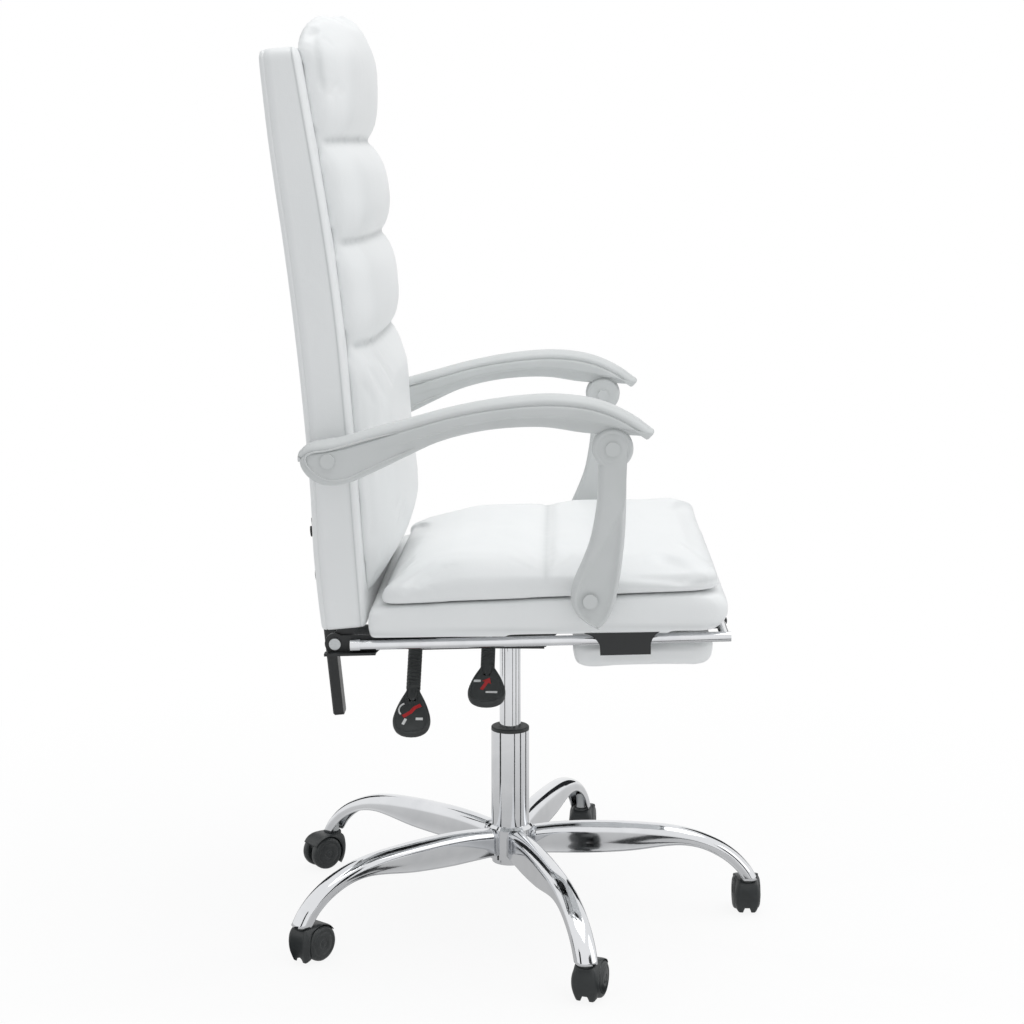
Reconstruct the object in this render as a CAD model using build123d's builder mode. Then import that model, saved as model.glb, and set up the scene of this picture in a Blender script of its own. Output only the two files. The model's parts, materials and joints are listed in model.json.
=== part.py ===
"""Reclining office chair: star base, gas lift, padded seat and back, linked armrests, slide-out footrest.

The origin is on the floor under the column, +Z is up and the sitter faces -Y. Sizes are in millimetres.
"""
import os
from math import cos, radians, sin, sqrt

from build123d import *

os.makedirs("parts", exist_ok=True)

SIDES = {"right": -1, "left": 1}

# Clearances
RUNNING_FIT = 0.05
PLAY = 0.3
KNUCKLE_PLAY = 2.4
STRUT_PLAY = 1.6

# Star base
LEG_COUNT = 5
LEG_FIRST_ANGLE = 270
LEG_REACH = 316
LEG_WIDTH = 27
LEG_WALL = 3
LEG_EDGE_RADIUS = 6
LEG_ROOT_TOP = 121
LEG_CREST_TOP = 127
LEG_DEPTH = 35
LEG_SHOULDER_SHARE = 0.67
LEG_BEND_SHARE = 0.88
LEG_BEND_DROP = 26
LEG_ARCH_RISE = 12
LEG_SHOULDER_DROP = 5
LEG_ARCH_REACH = 16
LEG_ARCH_SAG = 7
LEG_END_HEIGHT = 49
LEG_TOE = 13
LEG_HEEL = 6
HUB_RADIUS = 30
HUB_FLAT = 28
HUB_BOTTOM = 80
HUB_TOP = 124
HUB_CHAMFER = 4

# Casters
CASTER_HEADINGS = (0, -8, 130, -38, -17)
CASTER_TRAIL = 20
WHEEL_RADIUS = 23
WHEEL_WIDTH = 13
WHEEL_EDGE = 3
WHEEL_DISH = 2
WHEEL_PLAY = 0.6
WEB_WIDTH = 9
HOOD_WALL = 1.6
HOOD_NOSE = 11
HOOD_CHIN = 7
AXLE_RADIUS = 3
STEM_RADIUS = 5
STEM_DEPTH = 12
STEM_INSERT = 8
SOCKET_WALL = 2.5

# Column and gas lift
COLUMN_RADIUS = 25
COLUMN_WALL = 2.5
COLUMN_TOP = 252
COLUMN_TAPER = 1
COLUMN_FLOOR = 4
COLUMN_TAIL = 8
BUSH_RIM = 5
BUSH_LENGTH = 60
CYLINDER_RADIUS = 14
CYLINDER_WALL = 1.5
CYLINDER_BOTTOM = 190
CYLINDER_SHORT = 2
PISTON_CLEARANCE = 2
CYLINDER_CROWN = 11
CYLINDER_TAPER = 0.5
SEAL_LENGTH = 25
ROD_RADIUS = 5
PISTON_LENGTH = 20
BEARING_HEIGHT = 6
BEARING_RADIUS = 12
COLLAR_HEIGHT = 5
CLIP_THICKNESS = 1.5
CLIP_RADIUS = 8
LIFT_PIN_RADIUS = 4
PIN_PROUD = 7
FINGER_GAP = 0.6

# Padding
SECTION_MIDDLE = 0.55
SECTION_LEAST = 0.25
SECTION_SWELL = 0.2

# Seat
SEAT_Z = 436.5
SEAT_TILT = 1.7
SEAT_FRONT = 252
SEAT_NOSE = 11
SEAT_REAR = 164
SEAT_HALF_WIDTH = 255
SEAT_BOX_HEIGHT = 55
SEAT_REAR_HEIGHT = 36
SEAT_CORNER = 34
SEAT_SIDE_ROUND = 9
SEAT_DRAW = 4
BOARD_THICKNESS = 15
BOARD_INSET = 12
SIDE_RAIL_WIDTH = 20
SIDE_RAIL_TOP = 54
PAD_FRONT = 256
PAD_REAR = 134
PAD_INSET = 12
PAD_HALF_WIDTH = SEAT_HALF_WIDTH - PAD_INSET
PAD_EDGE = 14
PAD_CROWN = 12
PAD_ROLL = 40
PAD_CORNER = 46
PAD_BULGE = 4
PAD_SHOULDER = 12
PAD_DRAW = 5
PAD_SEAM_PLACE = -50
PAD_SEAM_DEPTH = 5
PAD_SEAM_REACH = 16

# Mechanism under the seat
PLATE_THICKNESS = 3
PLATE_HALF_WIDTH = 95
PLATE_FRONT = 72
PLATE_REAR = 130
WEB_PLACE = 48
WEB_DROP = 62.5
PAN_HALF_LENGTH = 45
PAN_Z = 373
SOCKET_RADIUS = 19
SOCKET_BOTTOM = 366
SOCKET_TOP = 391
SCREW_RADIUS = 3.5
SCREW_HEAD_RADIUS = 6
SCREW_HEAD_HEIGHT = 3.5
SCREW_LENGTH = 11

# Hand levers
LEVER_ROD_RADIUS = 4
LEVER_Z = 404
LEVER_BEND_X = 117
LEVER_HOLE_PLAY = 1
FINGER_THICKNESS = 7
FINGER_HALF_WIDTH = 7
FINGER_TIP = 8
GRIP_RADIUS = 8.5
GRIP_GROOVE = 1.2
GRIP_PITCH = 5.5
GRIP_START = 12
PADDLE_LENGTH = 68
PADDLE_HALF_WIDTH = 23
PADDLE_THICKNESS = 11
PADDLE_EDGE = 2
LIFT_LEVER_Y = 24
LIFT_LEVER_SLOPE = 31
LIFT_NECK = 52
LOCK_LEVER_Y = 115
LOCK_LEVER_SLOPE = 42
LOCK_NECK = 79

# Recline hinge and back
HINGE_Y = 204.8
HINGE_Z = 420.6
HINGE_PLATE = 4
HINGE_END = 12.5
HINGE_BOLT_RADIUS = 4
HINGE_BOLT_HEAD = 7
HINGE_BRACKET_FRONT = 84
HINGE_LIP_FRONT = 156
HINGE_LIP_WIDTH = 13
HINGE_LIP = 3
LEAF_HEIGHT = 90
LEAF_WIDTH = 26
RECLINE_RANGE = 35
BACK_LEAN = 5.5
SHELL_BOTTOM = 18
SHELL_TOP = 698
SHELL_FRONT = 40
SHELL_REAR = 9
SHELL_TOP_THINNING = 6
SHELL_CROWN = 4
SHELL_INSET = 15
SHELL_HALF_WIDTH = SEAT_HALF_WIDTH - SHELL_INSET
HINGE_INSET = 16
HINGE_X = SHELL_HALF_WIDTH - HINGE_INSET
SHELL_CORNER = 42
SHELL_EDGE = 9
BACK_BOARD_THICKNESS = 12
BACK_BOARD_BOTTOM = 24
BACK_BOARD_TOP = 655
CUSHION_BOTTOM = 54
CUSHION_SEAMS = (360, 473, 589)
CUSHION_TOP = 730
CUSHION_INSET = 26
CUSHION_HALF_WIDTH = SHELL_HALF_WIDTH - CUSHION_INSET
CUSHION_DEPTH = 72
CUSHION_SEAM_CUT = 11
CUSHION_SEAM_ROLL = 42
CUSHION_RISE = 120
CUSHION_EDGE_SHARE = 0.74
CUSHION_SHOULDER = 16
CUSHION_BULGE = 4
HEAD_ROLL = 69
HEAD_CORNER = 30
HEAD_LEAN = 25
CUSHION_LEAST = 7
CUSHION_RISE_POWER = 1.5
BAR_HALF_WIDTH = 15
BAR_FRONT = 27
BAR_THICKNESS = 14
BAR_TOP = 121
BAR_BOTTOM = -145
BAR_EDGE = 4
BAR_BOLT_PLACES = (42, 100)
BAR_BOSS_RADIUS = 9
BAR_BOLT_RADIUS = 4
BAR_BOLT_HEAD = 7

# Recline lock strut
STRUT_ARM = 40
STRUT_EYE_RADIUS = 4
STRUT_EYE_WALL = 3
STRUT_EYE_HALF_WIDTH = 6
STRUT_RADIUS = 10.5
STRUT_WALL = 2
STRUT_LENGTH = 40
STRUT_ROD_RADIUS = 4.5
STRUT_ROD_GRIP = 8
CLEVIS_PLATE = 4
HEAD_HALF_WIDTH = 11
HEAD_FRONT = 99
HEAD_REAR = 130
HEAD_BOTTOM = 370
HEAD_TOP = 388
LOCK_PIN_RADIUS = 3.5
LOCK_PIN_DEPTH = 9
ANCHOR_PIN_RADIUS = 4
ANCHOR_PIN_Y = 106

# Armrest linkage, side-view places as (Y, Z)
ARM_SHELL_GAP = 8
ARM_WIDTH = 48
ARM_INNER_X = SHELL_HALF_WIDTH + ARM_SHELL_GAP
ARM_OUTER_X = ARM_INNER_X + ARM_WIDTH
ARM_EDGE_RADIUS = 7
ARM_PIVOT = (203.1, 651.5)
ARM_LOBE_TOP = (227, 670)
ARM_LOBE_REAR = (237, 655)
ARM_LOBE_LOW = (230, 635)
ARM_LOBE_BOTTOM = (200, 620)
ARM_LOBE_FRONT = (160, 633)
ARM_TOP_REAR = (190, 676)
ARM_TOP_MID = (63, 711.7)
ARM_CREST = (-46, 727.5)
ARM_TOP_FRONT = (-120, 717)
ARM_TIP = (-172, 686)
ARM_TIP_ROUND = 1
ARM_TIP_UNDER = (-163, 680)
ARM_UNDER_FRONT = (-96, 682)
ARM_UNDER_MID = (-30, 690.5)
ARM_UNDER_REAR = (80, 672)
COVER_THICKNESS = 10.5
KNUCKLE = (-124.5, 665.7)
KNUCKLE_RADIUS = 24
LUG_RADIUS = 15
LUG_GAP = 1.2
POST_PIVOT = (-99.9, 486.6)
POST_SET_IN = 14
POST_THICKNESS = 28
KNUCKLE_STEP = 8
POST_INNER_X = ARM_INNER_X + POST_SET_IN
POST_OUTER_X = POST_INNER_X + POST_THICKNESS
KNUCKLE_INNER_X = POST_INNER_X + KNUCKLE_STEP
POST_TOP_HALF = 16.5
POST_FRONT_BEND = (-141, 590)
POST_FRONT_MID = (-137, 532)
POST_FRONT_LOW = (-128, 481)
POST_TOE_MID = (-121, 465)
POST_TOE = (-110, 453)
POST_HEEL = (-87, 466)
POST_LOBE_REAR = (-77, 494)
POST_LOBE_TOP = (-84, 518)
POST_REAR_MID = (-98.6, 553)
POST_REAR_BEND = (-107.5, 600)
POST_EDGE_RADIUS = 4
RECESS_RADIUS = 17
RECESS_DEPTH = 2
ARM_BOLT_RADIUS = 5
ARM_CAP_RADIUS = 8.5
ARM_CAP_HEIGHT = 3
ARM_SHOULDER_RADIUS = 7.4
ARM_NUT_RADIUS = 8
ARM_NUT_HEIGHT = 4
ANCHOR_INSET = 8
ANCHOR_BLOCK_X = SHELL_HALF_WIDTH - ANCHOR_INSET
ANCHOR_BLOCK_LENGTH = 30
ANCHOR_BLOCK_HALF = 18
ANCHOR_BLOCK_DEPTH = 22

# Footrest
RAIL_INSET = 18.5
RAIL_X = SEAT_HALF_WIDTH - RAIL_INSET
RAIL_RADIUS = 6
RAIL_DROP = 10.5
RAIL_REAR = 174
RAIL_FRONT = 268
RAIL_CAP_RADIUS = 7.25
RAIL_CAP_LENGTH = 12
CROSSBAR_PLACE = 261
GUIDE_FRONT = 172
GUIDE_REAR = 112
GUIDE_FLARE_FRONT = 11
GUIDE_FLARE_REAR = 18
GUIDE_FLARE_DROP = 16
FLARE_MIDDLE = 0.36
GUIDE_PLATE = 2.5
GUIDE_HALF_WIDTH = 12.5
GUIDE_DROP = 27
GUIDE_FLANGE = 34
FOOT_PAD_REAR = 80
FOOT_PAD_FRONT = 249
FOOT_PAD_SIDE_GAP = 33.5
FOOT_PAD_HALF_WIDTH = RAIL_X - FOOT_PAD_SIDE_GAP
FOOT_PAD_TOP = 20
FOOT_PAD_EDGE = 22
FOOT_PAD_CROWN = 8
FOOT_PAD_ROLL = 16
FOOT_PAD_CORNER = 24
FOOT_BOARD_THICKNESS = 9
FOOT_BOARD_INSET = 14
FOOT_HINGE_PLACE = 130
FOOT_HINGE_HALF = 22
FOOT_HINGE_WALL = 3
FOOT_TONGUE = 50

# Planes that the seat and the back are drawn on
seat_rear_way = (0, cos(radians(SEAT_TILT)), -sin(radians(SEAT_TILT)))
seat_up = (0, sin(radians(SEAT_TILT)), cos(radians(SEAT_TILT)))
seat_front_way = (0, -cos(radians(SEAT_TILT)), sin(radians(SEAT_TILT)))
seat_origin = (0, 0, SEAT_Z)
seat_side = Plane(origin=seat_origin, x_dir=seat_rear_way, z_dir=(1, 0, 0))
seat_plan = Plane(origin=seat_origin, x_dir=(1, 0, 0), z_dir=seat_up)
seat_face = Plane(origin=seat_origin, x_dir=(1, 0, 0), z_dir=seat_front_way)
back_rear_way = (0, cos(radians(BACK_LEAN)), -sin(radians(BACK_LEAN)))
back_up = (0, sin(radians(BACK_LEAN)), cos(radians(BACK_LEAN)))
back_front_way = (0, -cos(radians(BACK_LEAN)), sin(radians(BACK_LEAN)))
hinge_origin = (0, HINGE_Y, HINGE_Z)
back_side = Plane(origin=hinge_origin, x_dir=back_rear_way, z_dir=(1, 0, 0))
back_plan = Plane(origin=hinge_origin, x_dir=(1, 0, 0), z_dir=back_up)
back_face = Plane(origin=hinge_origin, x_dir=(1, 0, 0), z_dir=back_front_way)


def save(piece, name):
    """Label a finished piece and write its file."""
    piece.part.label = name
    export_step(piece.part, f"parts/{name}.step")


def upright(angle, reach=0):
    """Vertical plane through the column axis direction `angle`, with its origin `reach` from the axis."""
    way = Vector(cos(radians(angle)), sin(radians(angle)), 0)
    return Plane(origin=way * reach, x_dir=way, z_dir=(way.Y, -way.X, 0))


def on_seat(place):
    """Coordinates along and square to the seat of a side-view place (Y, Z)."""
    local = seat_side.to_local_coords(Vector(0, place[0], place[1]))
    return (local.X, local.Y)


def on_back(place):
    """Depth and height on the leaning back of a side-view place (Y, Z)."""
    local = back_side.to_local_coords(Vector(0, place[0], place[1]))
    return (local.X, local.Y)


def rolled(distance, roll):
    """Share of the full height at `distance` from a rounded end of radius `roll`."""
    share = min(max(distance / roll, 0.0), 1.0)
    return sqrt(1 - (1 - share) ** 2)


def padded_section(plane, base, way, half_width, edge, crown, bulge, shoulder):
    """Flat base, bulged sides and a crowned face, on the side of the base that `way` gives."""
    rim = base + way * edge
    middle = base + way * edge * SECTION_MIDDLE
    inner = half_width - min(shoulder, edge)
    outer = half_width + min(bulge, edge * SECTION_SWELL)
    with BuildSketch(plane) as section:
        with BuildLine():
            Line((-half_width, base), (half_width, base))
            ThreePointArc((half_width, base), (outer, middle), (inner, rim))
            ThreePointArc((inner, rim), (0, rim + way * crown), (-inner, rim))
            ThreePointArc((-inner, rim), (-outer, middle), (-half_width, base))
        make_face()
    return section.sketch


# Star base: hub with a flat seat for each leg
leg_angles = [LEG_FIRST_ANGLE + index * 360 / LEG_COUNT for index in range(LEG_COUNT)]
leg_under = LEG_CREST_TOP - LEG_DEPTH - LEG_SHOULDER_DROP
with BuildPart() as base_hub:
    with BuildSketch(Plane.XZ):
        with BuildLine():
            Polyline(
                (COLUMN_RADIUS - COLUMN_TAPER + RUNNING_FIT, HUB_BOTTOM),
                (HUB_RADIUS, HUB_BOTTOM),
                (HUB_RADIUS, HUB_TOP - HUB_CHAMFER),
                (HUB_RADIUS - HUB_CHAMFER, HUB_TOP),
                (COLUMN_RADIUS + RUNNING_FIT, HUB_TOP),
                close=True,
            )
        make_face()
    revolve(axis=Axis.Z)
    for angle in leg_angles:
        with BuildSketch(upright(angle, HUB_FLAT)):
            with Locations((0, leg_under)):
                Rectangle(HUB_RADIUS, LEG_ROOT_TOP - leg_under, align=(Align.MIN, Align.MIN))
        extrude(amount=LEG_WIDTH / 2, both=True, mode=Mode.SUBTRACT)
save(base_hub, "base_hub")


def leg_outline(plane, inset, floor):
    """Side view of a leg: arched top, bend down to the caster, and an arch or a flat floor below."""
    top = LEG_CREST_TOP - inset
    toe = LEG_REACH + LEG_TOE - inset
    heel = LEG_REACH - LEG_HEEL
    shoulder = LEG_REACH * LEG_SHOULDER_SHARE
    bend = LEG_REACH * LEG_BEND_SHARE - inset
    root_top = LEG_ROOT_TOP - inset
    bend_top = LEG_CREST_TOP - LEG_BEND_DROP - inset
    with BuildSketch(plane) as outline:
        with BuildLine():
            ThreePointArc((HUB_FLAT, root_top), (shoulder / 2, top), (shoulder, top - LEG_SHOULDER_DROP))
            ThreePointArc((shoulder, top - LEG_SHOULDER_DROP), (bend, bend_top), (toe, LEG_END_HEIGHT))
            if floor is None:
                arch = shoulder + LEG_ARCH_REACH
                Line((toe, LEG_END_HEIGHT), (heel, LEG_END_HEIGHT))
                ThreePointArc(
                    (heel, LEG_END_HEIGHT),
                    ((heel + arch) / 2 + LEG_ARCH_SAG, leg_under - LEG_WALL),
                    (arch, leg_under + LEG_ARCH_RISE),
                )
                ThreePointArc(
                    (arch, leg_under + LEG_ARCH_RISE),
                    (shoulder * 0.8, leg_under + LEG_SHOULDER_DROP),
                    (shoulder / 2, leg_under),
                )
                Line((shoulder / 2, leg_under), (HUB_FLAT, leg_under))
                Line((HUB_FLAT, leg_under), (HUB_FLAT, root_top))
            else:
                Polyline((toe, LEG_END_HEIGHT), (toe, floor), (HUB_FLAT, floor), (HUB_FLAT, root_top))
        make_face()
    return outline.sketch


# Star base: pressed legs, sockets and stems
stem_top = LEG_END_HEIGHT + STEM_INSERT
hood_top = WHEEL_RADIUS * 2 + WHEEL_PLAY + HOOD_WALL
stem_bottom = hood_top - STEM_DEPTH
legs = []
cavities = []
for angle in leg_angles:
    leg_plane = upright(angle)
    with BuildPart() as cavity:
        extrude(leg_outline(leg_plane, LEG_WALL, 0), amount=LEG_WIDTH / 2 - LEG_WALL, both=True)
    with BuildPart() as leg:
        extrude(leg_outline(leg_plane, 0, None), amount=LEG_WIDTH / 2, both=True)
        arcs = leg.edges().filter_by(GeomType.CIRCLE).sort_by(lambda arc: arc.position_at(0.5).Z)
        fillet(arcs[-4:], radius=LEG_EDGE_RADIUS)
        add(cavity.part, mode=Mode.SUBTRACT)
        with BuildSketch(Plane(upright(angle, LEG_REACH).origin + (0, 0, LEG_END_HEIGHT))):
            Circle(STEM_RADIUS + RUNNING_FIT)
        extrude(amount=STEM_INSERT, mode=Mode.SUBTRACT)
    legs.append(leg.part)
    cavities.append(cavity.part)
with BuildPart() as base_legs:
    add(legs)
save(base_legs, "base_legs")
leg_feet = [upright(angle, LEG_REACH).origin for angle in leg_angles]
sockets = []
for foot, cavity in zip(leg_feet, cavities):
    with BuildPart() as socket:
        with BuildSketch(Plane(foot + (0, 0, LEG_END_HEIGHT))):
            Circle(STEM_RADIUS + SOCKET_WALL)
        extrude(amount=LEG_DEPTH)
        add(cavity, mode=Mode.INTERSECT)
        with BuildSketch(Plane(foot + (0, 0, LEG_END_HEIGHT))):
            Circle(STEM_RADIUS + RUNNING_FIT)
        extrude(amount=STEM_INSERT, mode=Mode.SUBTRACT)
    sockets.append(socket.part)
with BuildPart() as caster_sockets:
    add(sockets)
save(caster_sockets, "caster_sockets")

with BuildPart() as caster_stems:
    with BuildSketch(Plane.XY.offset(stem_bottom)):
        with Locations(*leg_feet):
            Circle(STEM_RADIUS)
    extrude(amount=stem_top - stem_bottom)
save(caster_stems, "caster_stems")

# Casters: hood and wheel pair, swivelled as they stand
axle_place = (CASTER_TRAIL, WHEEL_RADIUS)
hood_radius = WHEEL_RADIUS + WHEEL_PLAY + HOOD_WALL
hood_half_width = WEB_WIDTH / 2 + WHEEL_PLAY + WHEEL_WIDTH
hood_round = HOOD_NOSE * 0.45
tail_angle = radians(50)
crown_angle = radians(70)
tail = (CASTER_TRAIL + hood_radius * cos(tail_angle), WHEEL_RADIUS + hood_radius * sin(tail_angle))
crown = (CASTER_TRAIL + hood_radius * cos(crown_angle), WHEEL_RADIUS + hood_radius * sin(crown_angle))
for index, (foot, heading) in enumerate(zip(leg_feet, CASTER_HEADINGS), start=1):
    way = Vector(cos(radians(heading)), sin(radians(heading)), 0)
    caster_plane = Plane(origin=foot, x_dir=way, z_dir=(way.Y, -way.X, 0))
    with BuildPart() as caster_hood:
        with BuildSketch(caster_plane):
            with BuildLine():
                Line((CASTER_TRAIL, hood_top), (hood_round - HOOD_NOSE, hood_top))
                ThreePointArc(
                    (hood_round - HOOD_NOSE, hood_top),
                    (hood_round * 0.3 - HOOD_NOSE, hood_top - hood_round * 0.3),
                    (-HOOD_NOSE, hood_top - hood_round),
                )
                Line((-HOOD_NOSE, hood_top - hood_round), (-HOOD_NOSE, WHEEL_RADIUS))
                ThreePointArc(
                    (-HOOD_NOSE, WHEEL_RADIUS),
                    (HOOD_CHIN * 0.25 - HOOD_NOSE, (WHEEL_RADIUS + HOOD_CHIN) / 2),
                    (HOOD_CHIN - HOOD_NOSE, HOOD_CHIN),
                )
                Line((HOOD_CHIN - HOOD_NOSE, HOOD_CHIN), (CASTER_TRAIL, WHEEL_RADIUS - AXLE_RADIUS * 2.5))
                Line((CASTER_TRAIL, WHEEL_RADIUS - AXLE_RADIUS * 2.5), tail)
                ThreePointArc(tail, crown, (CASTER_TRAIL, hood_top))
            make_face()
        extrude(amount=hood_half_width, both=True)
        for side in SIDES.values():
            with BuildSketch(caster_plane.offset(side * WEB_WIDTH / 2)):
                with Locations(axle_place):
                    Circle(WHEEL_RADIUS + WHEEL_PLAY)
            extrude(amount=side * hood_half_width, mode=Mode.SUBTRACT)
        with BuildSketch(caster_plane):
            with Locations(axle_place):
                Circle(AXLE_RADIUS + RUNNING_FIT)
        extrude(amount=WEB_WIDTH, both=True, mode=Mode.SUBTRACT)
        with BuildSketch(Plane(foot + (0, 0, stem_bottom))):
            Circle(STEM_RADIUS + RUNNING_FIT)
        extrude(amount=STEM_DEPTH * 2, mode=Mode.SUBTRACT)
    save(caster_hood, f"caster_hood_{index}")
    inner_face = WEB_WIDTH / 2 + WHEEL_PLAY
    wheels = []
    for side in SIDES.values():
        with BuildPart() as wheel:
            with BuildSketch(caster_plane.offset(side * inner_face)):
                with Locations(axle_place):
                    Circle(WHEEL_RADIUS)
                    Circle(AXLE_RADIUS + RUNNING_FIT, mode=Mode.SUBTRACT)
            extrude(amount=side * WHEEL_WIDTH)
            rims = wheel.edges().filter_by(GeomType.CIRCLE).sort_by(SortBy.RADIUS)
            fillet(rims[-2:], radius=WHEEL_EDGE)
            with BuildSketch(caster_plane.offset(side * hood_half_width)):
                with Locations(axle_place):
                    Circle(WHEEL_RADIUS - WHEEL_EDGE * 2)
                    Circle(AXLE_RADIUS * 2, mode=Mode.SUBTRACT)
            extrude(amount=-side * WHEEL_DISH, mode=Mode.SUBTRACT)
        wheels.append(wheel.part)
    with BuildPart() as caster_wheels:
        add(wheels)
        with BuildSketch(caster_plane):
            with Locations(axle_place):
                Circle(AXLE_RADIUS)
        extrude(amount=hood_half_width, both=True)
    save(caster_wheels, f"caster_wheels_{index}")

# Column tube with its bush, bearing and gas lift
column_bottom = HUB_BOTTOM - COLUMN_TAIL
column_bore = COLUMN_RADIUS - COLUMN_WALL
rod_bore = ROD_RADIUS + RUNNING_FIT * 2
cylinder_bore = CYLINDER_RADIUS - CYLINDER_WALL
cylinder_top = SOCKET_TOP - CYLINDER_SHORT
crown_bottom = cylinder_top - CYLINDER_CROWN
bearing_bottom = column_bottom + COLUMN_FLOOR
collar_bottom = bearing_bottom + BEARING_HEIGHT + PLAY
clip_top = column_bottom - PLAY
piston_bottom = CYLINDER_BOTTOM + SEAL_LENGTH + PISTON_CLEARANCE
pin_top = cylinder_top + PIN_PROUD


def turned(*points):
    """Sketch of a half section, given as (radius, height) points, to revolve round the column axis."""
    with BuildSketch(Plane.XZ) as half:
        with BuildLine():
            Polyline(*points, close=True)
        make_face()
    return half.sketch


with BuildPart() as column_tube:
    revolve(
        turned(
            (rod_bore, column_bottom),
            (COLUMN_RADIUS - COLUMN_TAPER, column_bottom),
            (COLUMN_RADIUS - COLUMN_TAPER, HUB_BOTTOM),
            (COLUMN_RADIUS, HUB_TOP),
            (COLUMN_RADIUS, COLUMN_TOP),
            (column_bore, COLUMN_TOP),
            (column_bore, bearing_bottom),
            (rod_bore, bearing_bottom),
        ),
        axis=Axis.Z,
    )
save(column_tube, "column_tube")

with BuildPart() as column_bush:
    revolve(
        turned(
            (CYLINDER_RADIUS + RUNNING_FIT * 2, COLUMN_TOP - BUSH_LENGTH),
            (column_bore - RUNNING_FIT, COLUMN_TOP - BUSH_LENGTH),
            (column_bore - RUNNING_FIT, COLUMN_TOP),
            (COLUMN_RADIUS, COLUMN_TOP),
            (COLUMN_RADIUS, COLUMN_TOP + BUSH_RIM),
            (CYLINDER_RADIUS + RUNNING_FIT * 2, COLUMN_TOP + BUSH_RIM),
        ),
        axis=Axis.Z,
    )
    fillet(column_bush.edges().group_by(Axis.Z)[-1].sort_by(SortBy.RADIUS)[-1], radius=BUSH_RIM * 0.4)
save(column_bush, "column_bush")

with BuildPart() as thrust_bearing:
    with BuildSketch(Plane.XY.offset(bearing_bottom)):
        Circle(BEARING_RADIUS)
        Circle(ROD_RADIUS + PLAY, mode=Mode.SUBTRACT)
    extrude(amount=BEARING_HEIGHT)
save(thrust_bearing, "thrust_bearing")

with BuildPart() as piston_rod:
    revolve(
        turned(
            (0, clip_top - CLIP_THICKNESS * 3),
            (ROD_RADIUS, clip_top - CLIP_THICKNESS * 3),
            (ROD_RADIUS, collar_bottom),
            (BEARING_RADIUS, collar_bottom),
            (BEARING_RADIUS, collar_bottom + COLLAR_HEIGHT),
            (ROD_RADIUS, collar_bottom + COLLAR_HEIGHT),
            (ROD_RADIUS, piston_bottom),
            (cylinder_bore - RUNNING_FIT * 2, piston_bottom),
            (cylinder_bore - RUNNING_FIT * 2, piston_bottom + PISTON_LENGTH),
            (0, piston_bottom + PISTON_LENGTH),
        ),
        axis=Axis.Z,
    )
save(piston_rod, "piston_rod")

with BuildPart() as retaining_clip:
    with BuildSketch(Plane.XY.offset(clip_top - CLIP_THICKNESS)):
        Circle(CLIP_RADIUS)
        Circle(ROD_RADIUS + RUNNING_FIT, mode=Mode.SUBTRACT)
    extrude(amount=CLIP_THICKNESS)
save(retaining_clip, "retaining_clip")

with BuildPart() as gas_cylinder:
    revolve(
        turned(
            (cylinder_bore, CYLINDER_BOTTOM),
            (CYLINDER_RADIUS, CYLINDER_BOTTOM),
            (CYLINDER_RADIUS, SOCKET_BOTTOM),
            (CYLINDER_RADIUS - CYLINDER_TAPER, cylinder_top),
            (LIFT_PIN_RADIUS + RUNNING_FIT, cylinder_top),
            (LIFT_PIN_RADIUS + RUNNING_FIT, crown_bottom),
            (cylinder_bore, crown_bottom),
        ),
        axis=Axis.Z,
    )
save(gas_cylinder, "gas_cylinder")

with BuildPart() as cylinder_seal:
    with BuildSketch(Plane.XY.offset(CYLINDER_BOTTOM)):
        Circle(cylinder_bore - RUNNING_FIT)
        Circle(rod_bore, mode=Mode.SUBTRACT)
    extrude(amount=SEAL_LENGTH)
save(cylinder_seal, "cylinder_seal")

with BuildPart() as lift_release_pin:
    with BuildSketch(Plane.XY.offset(crown_bottom)):
        Circle(LIFT_PIN_RADIUS)
    extrude(amount=pin_top - crown_bottom)
    chamfer(lift_release_pin.edges().sort_by(Axis.Z)[-1], length=LIFT_PIN_RADIUS * 0.25)
save(lift_release_pin, "lift_release_pin")

# Recline lock: places along the strut
half_recline = radians(RECLINE_RANGE / 2)
eye_y = HINGE_Y + STRUT_ARM * sin(half_recline)
eye_z = HINGE_Z - STRUT_ARM * cos(half_recline)
strut_z = HINGE_Z - STRUT_ARM * (1 + cos(half_recline)) / 2
eye_outer = STRUT_EYE_RADIUS + STRUT_PLAY + STRUT_EYE_WALL
strut_rear = eye_y - eye_outer - STRUT_PLAY * 2
strut_front = strut_rear - STRUT_LENGTH
finger_bottom = pin_top + FINGER_GAP

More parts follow.
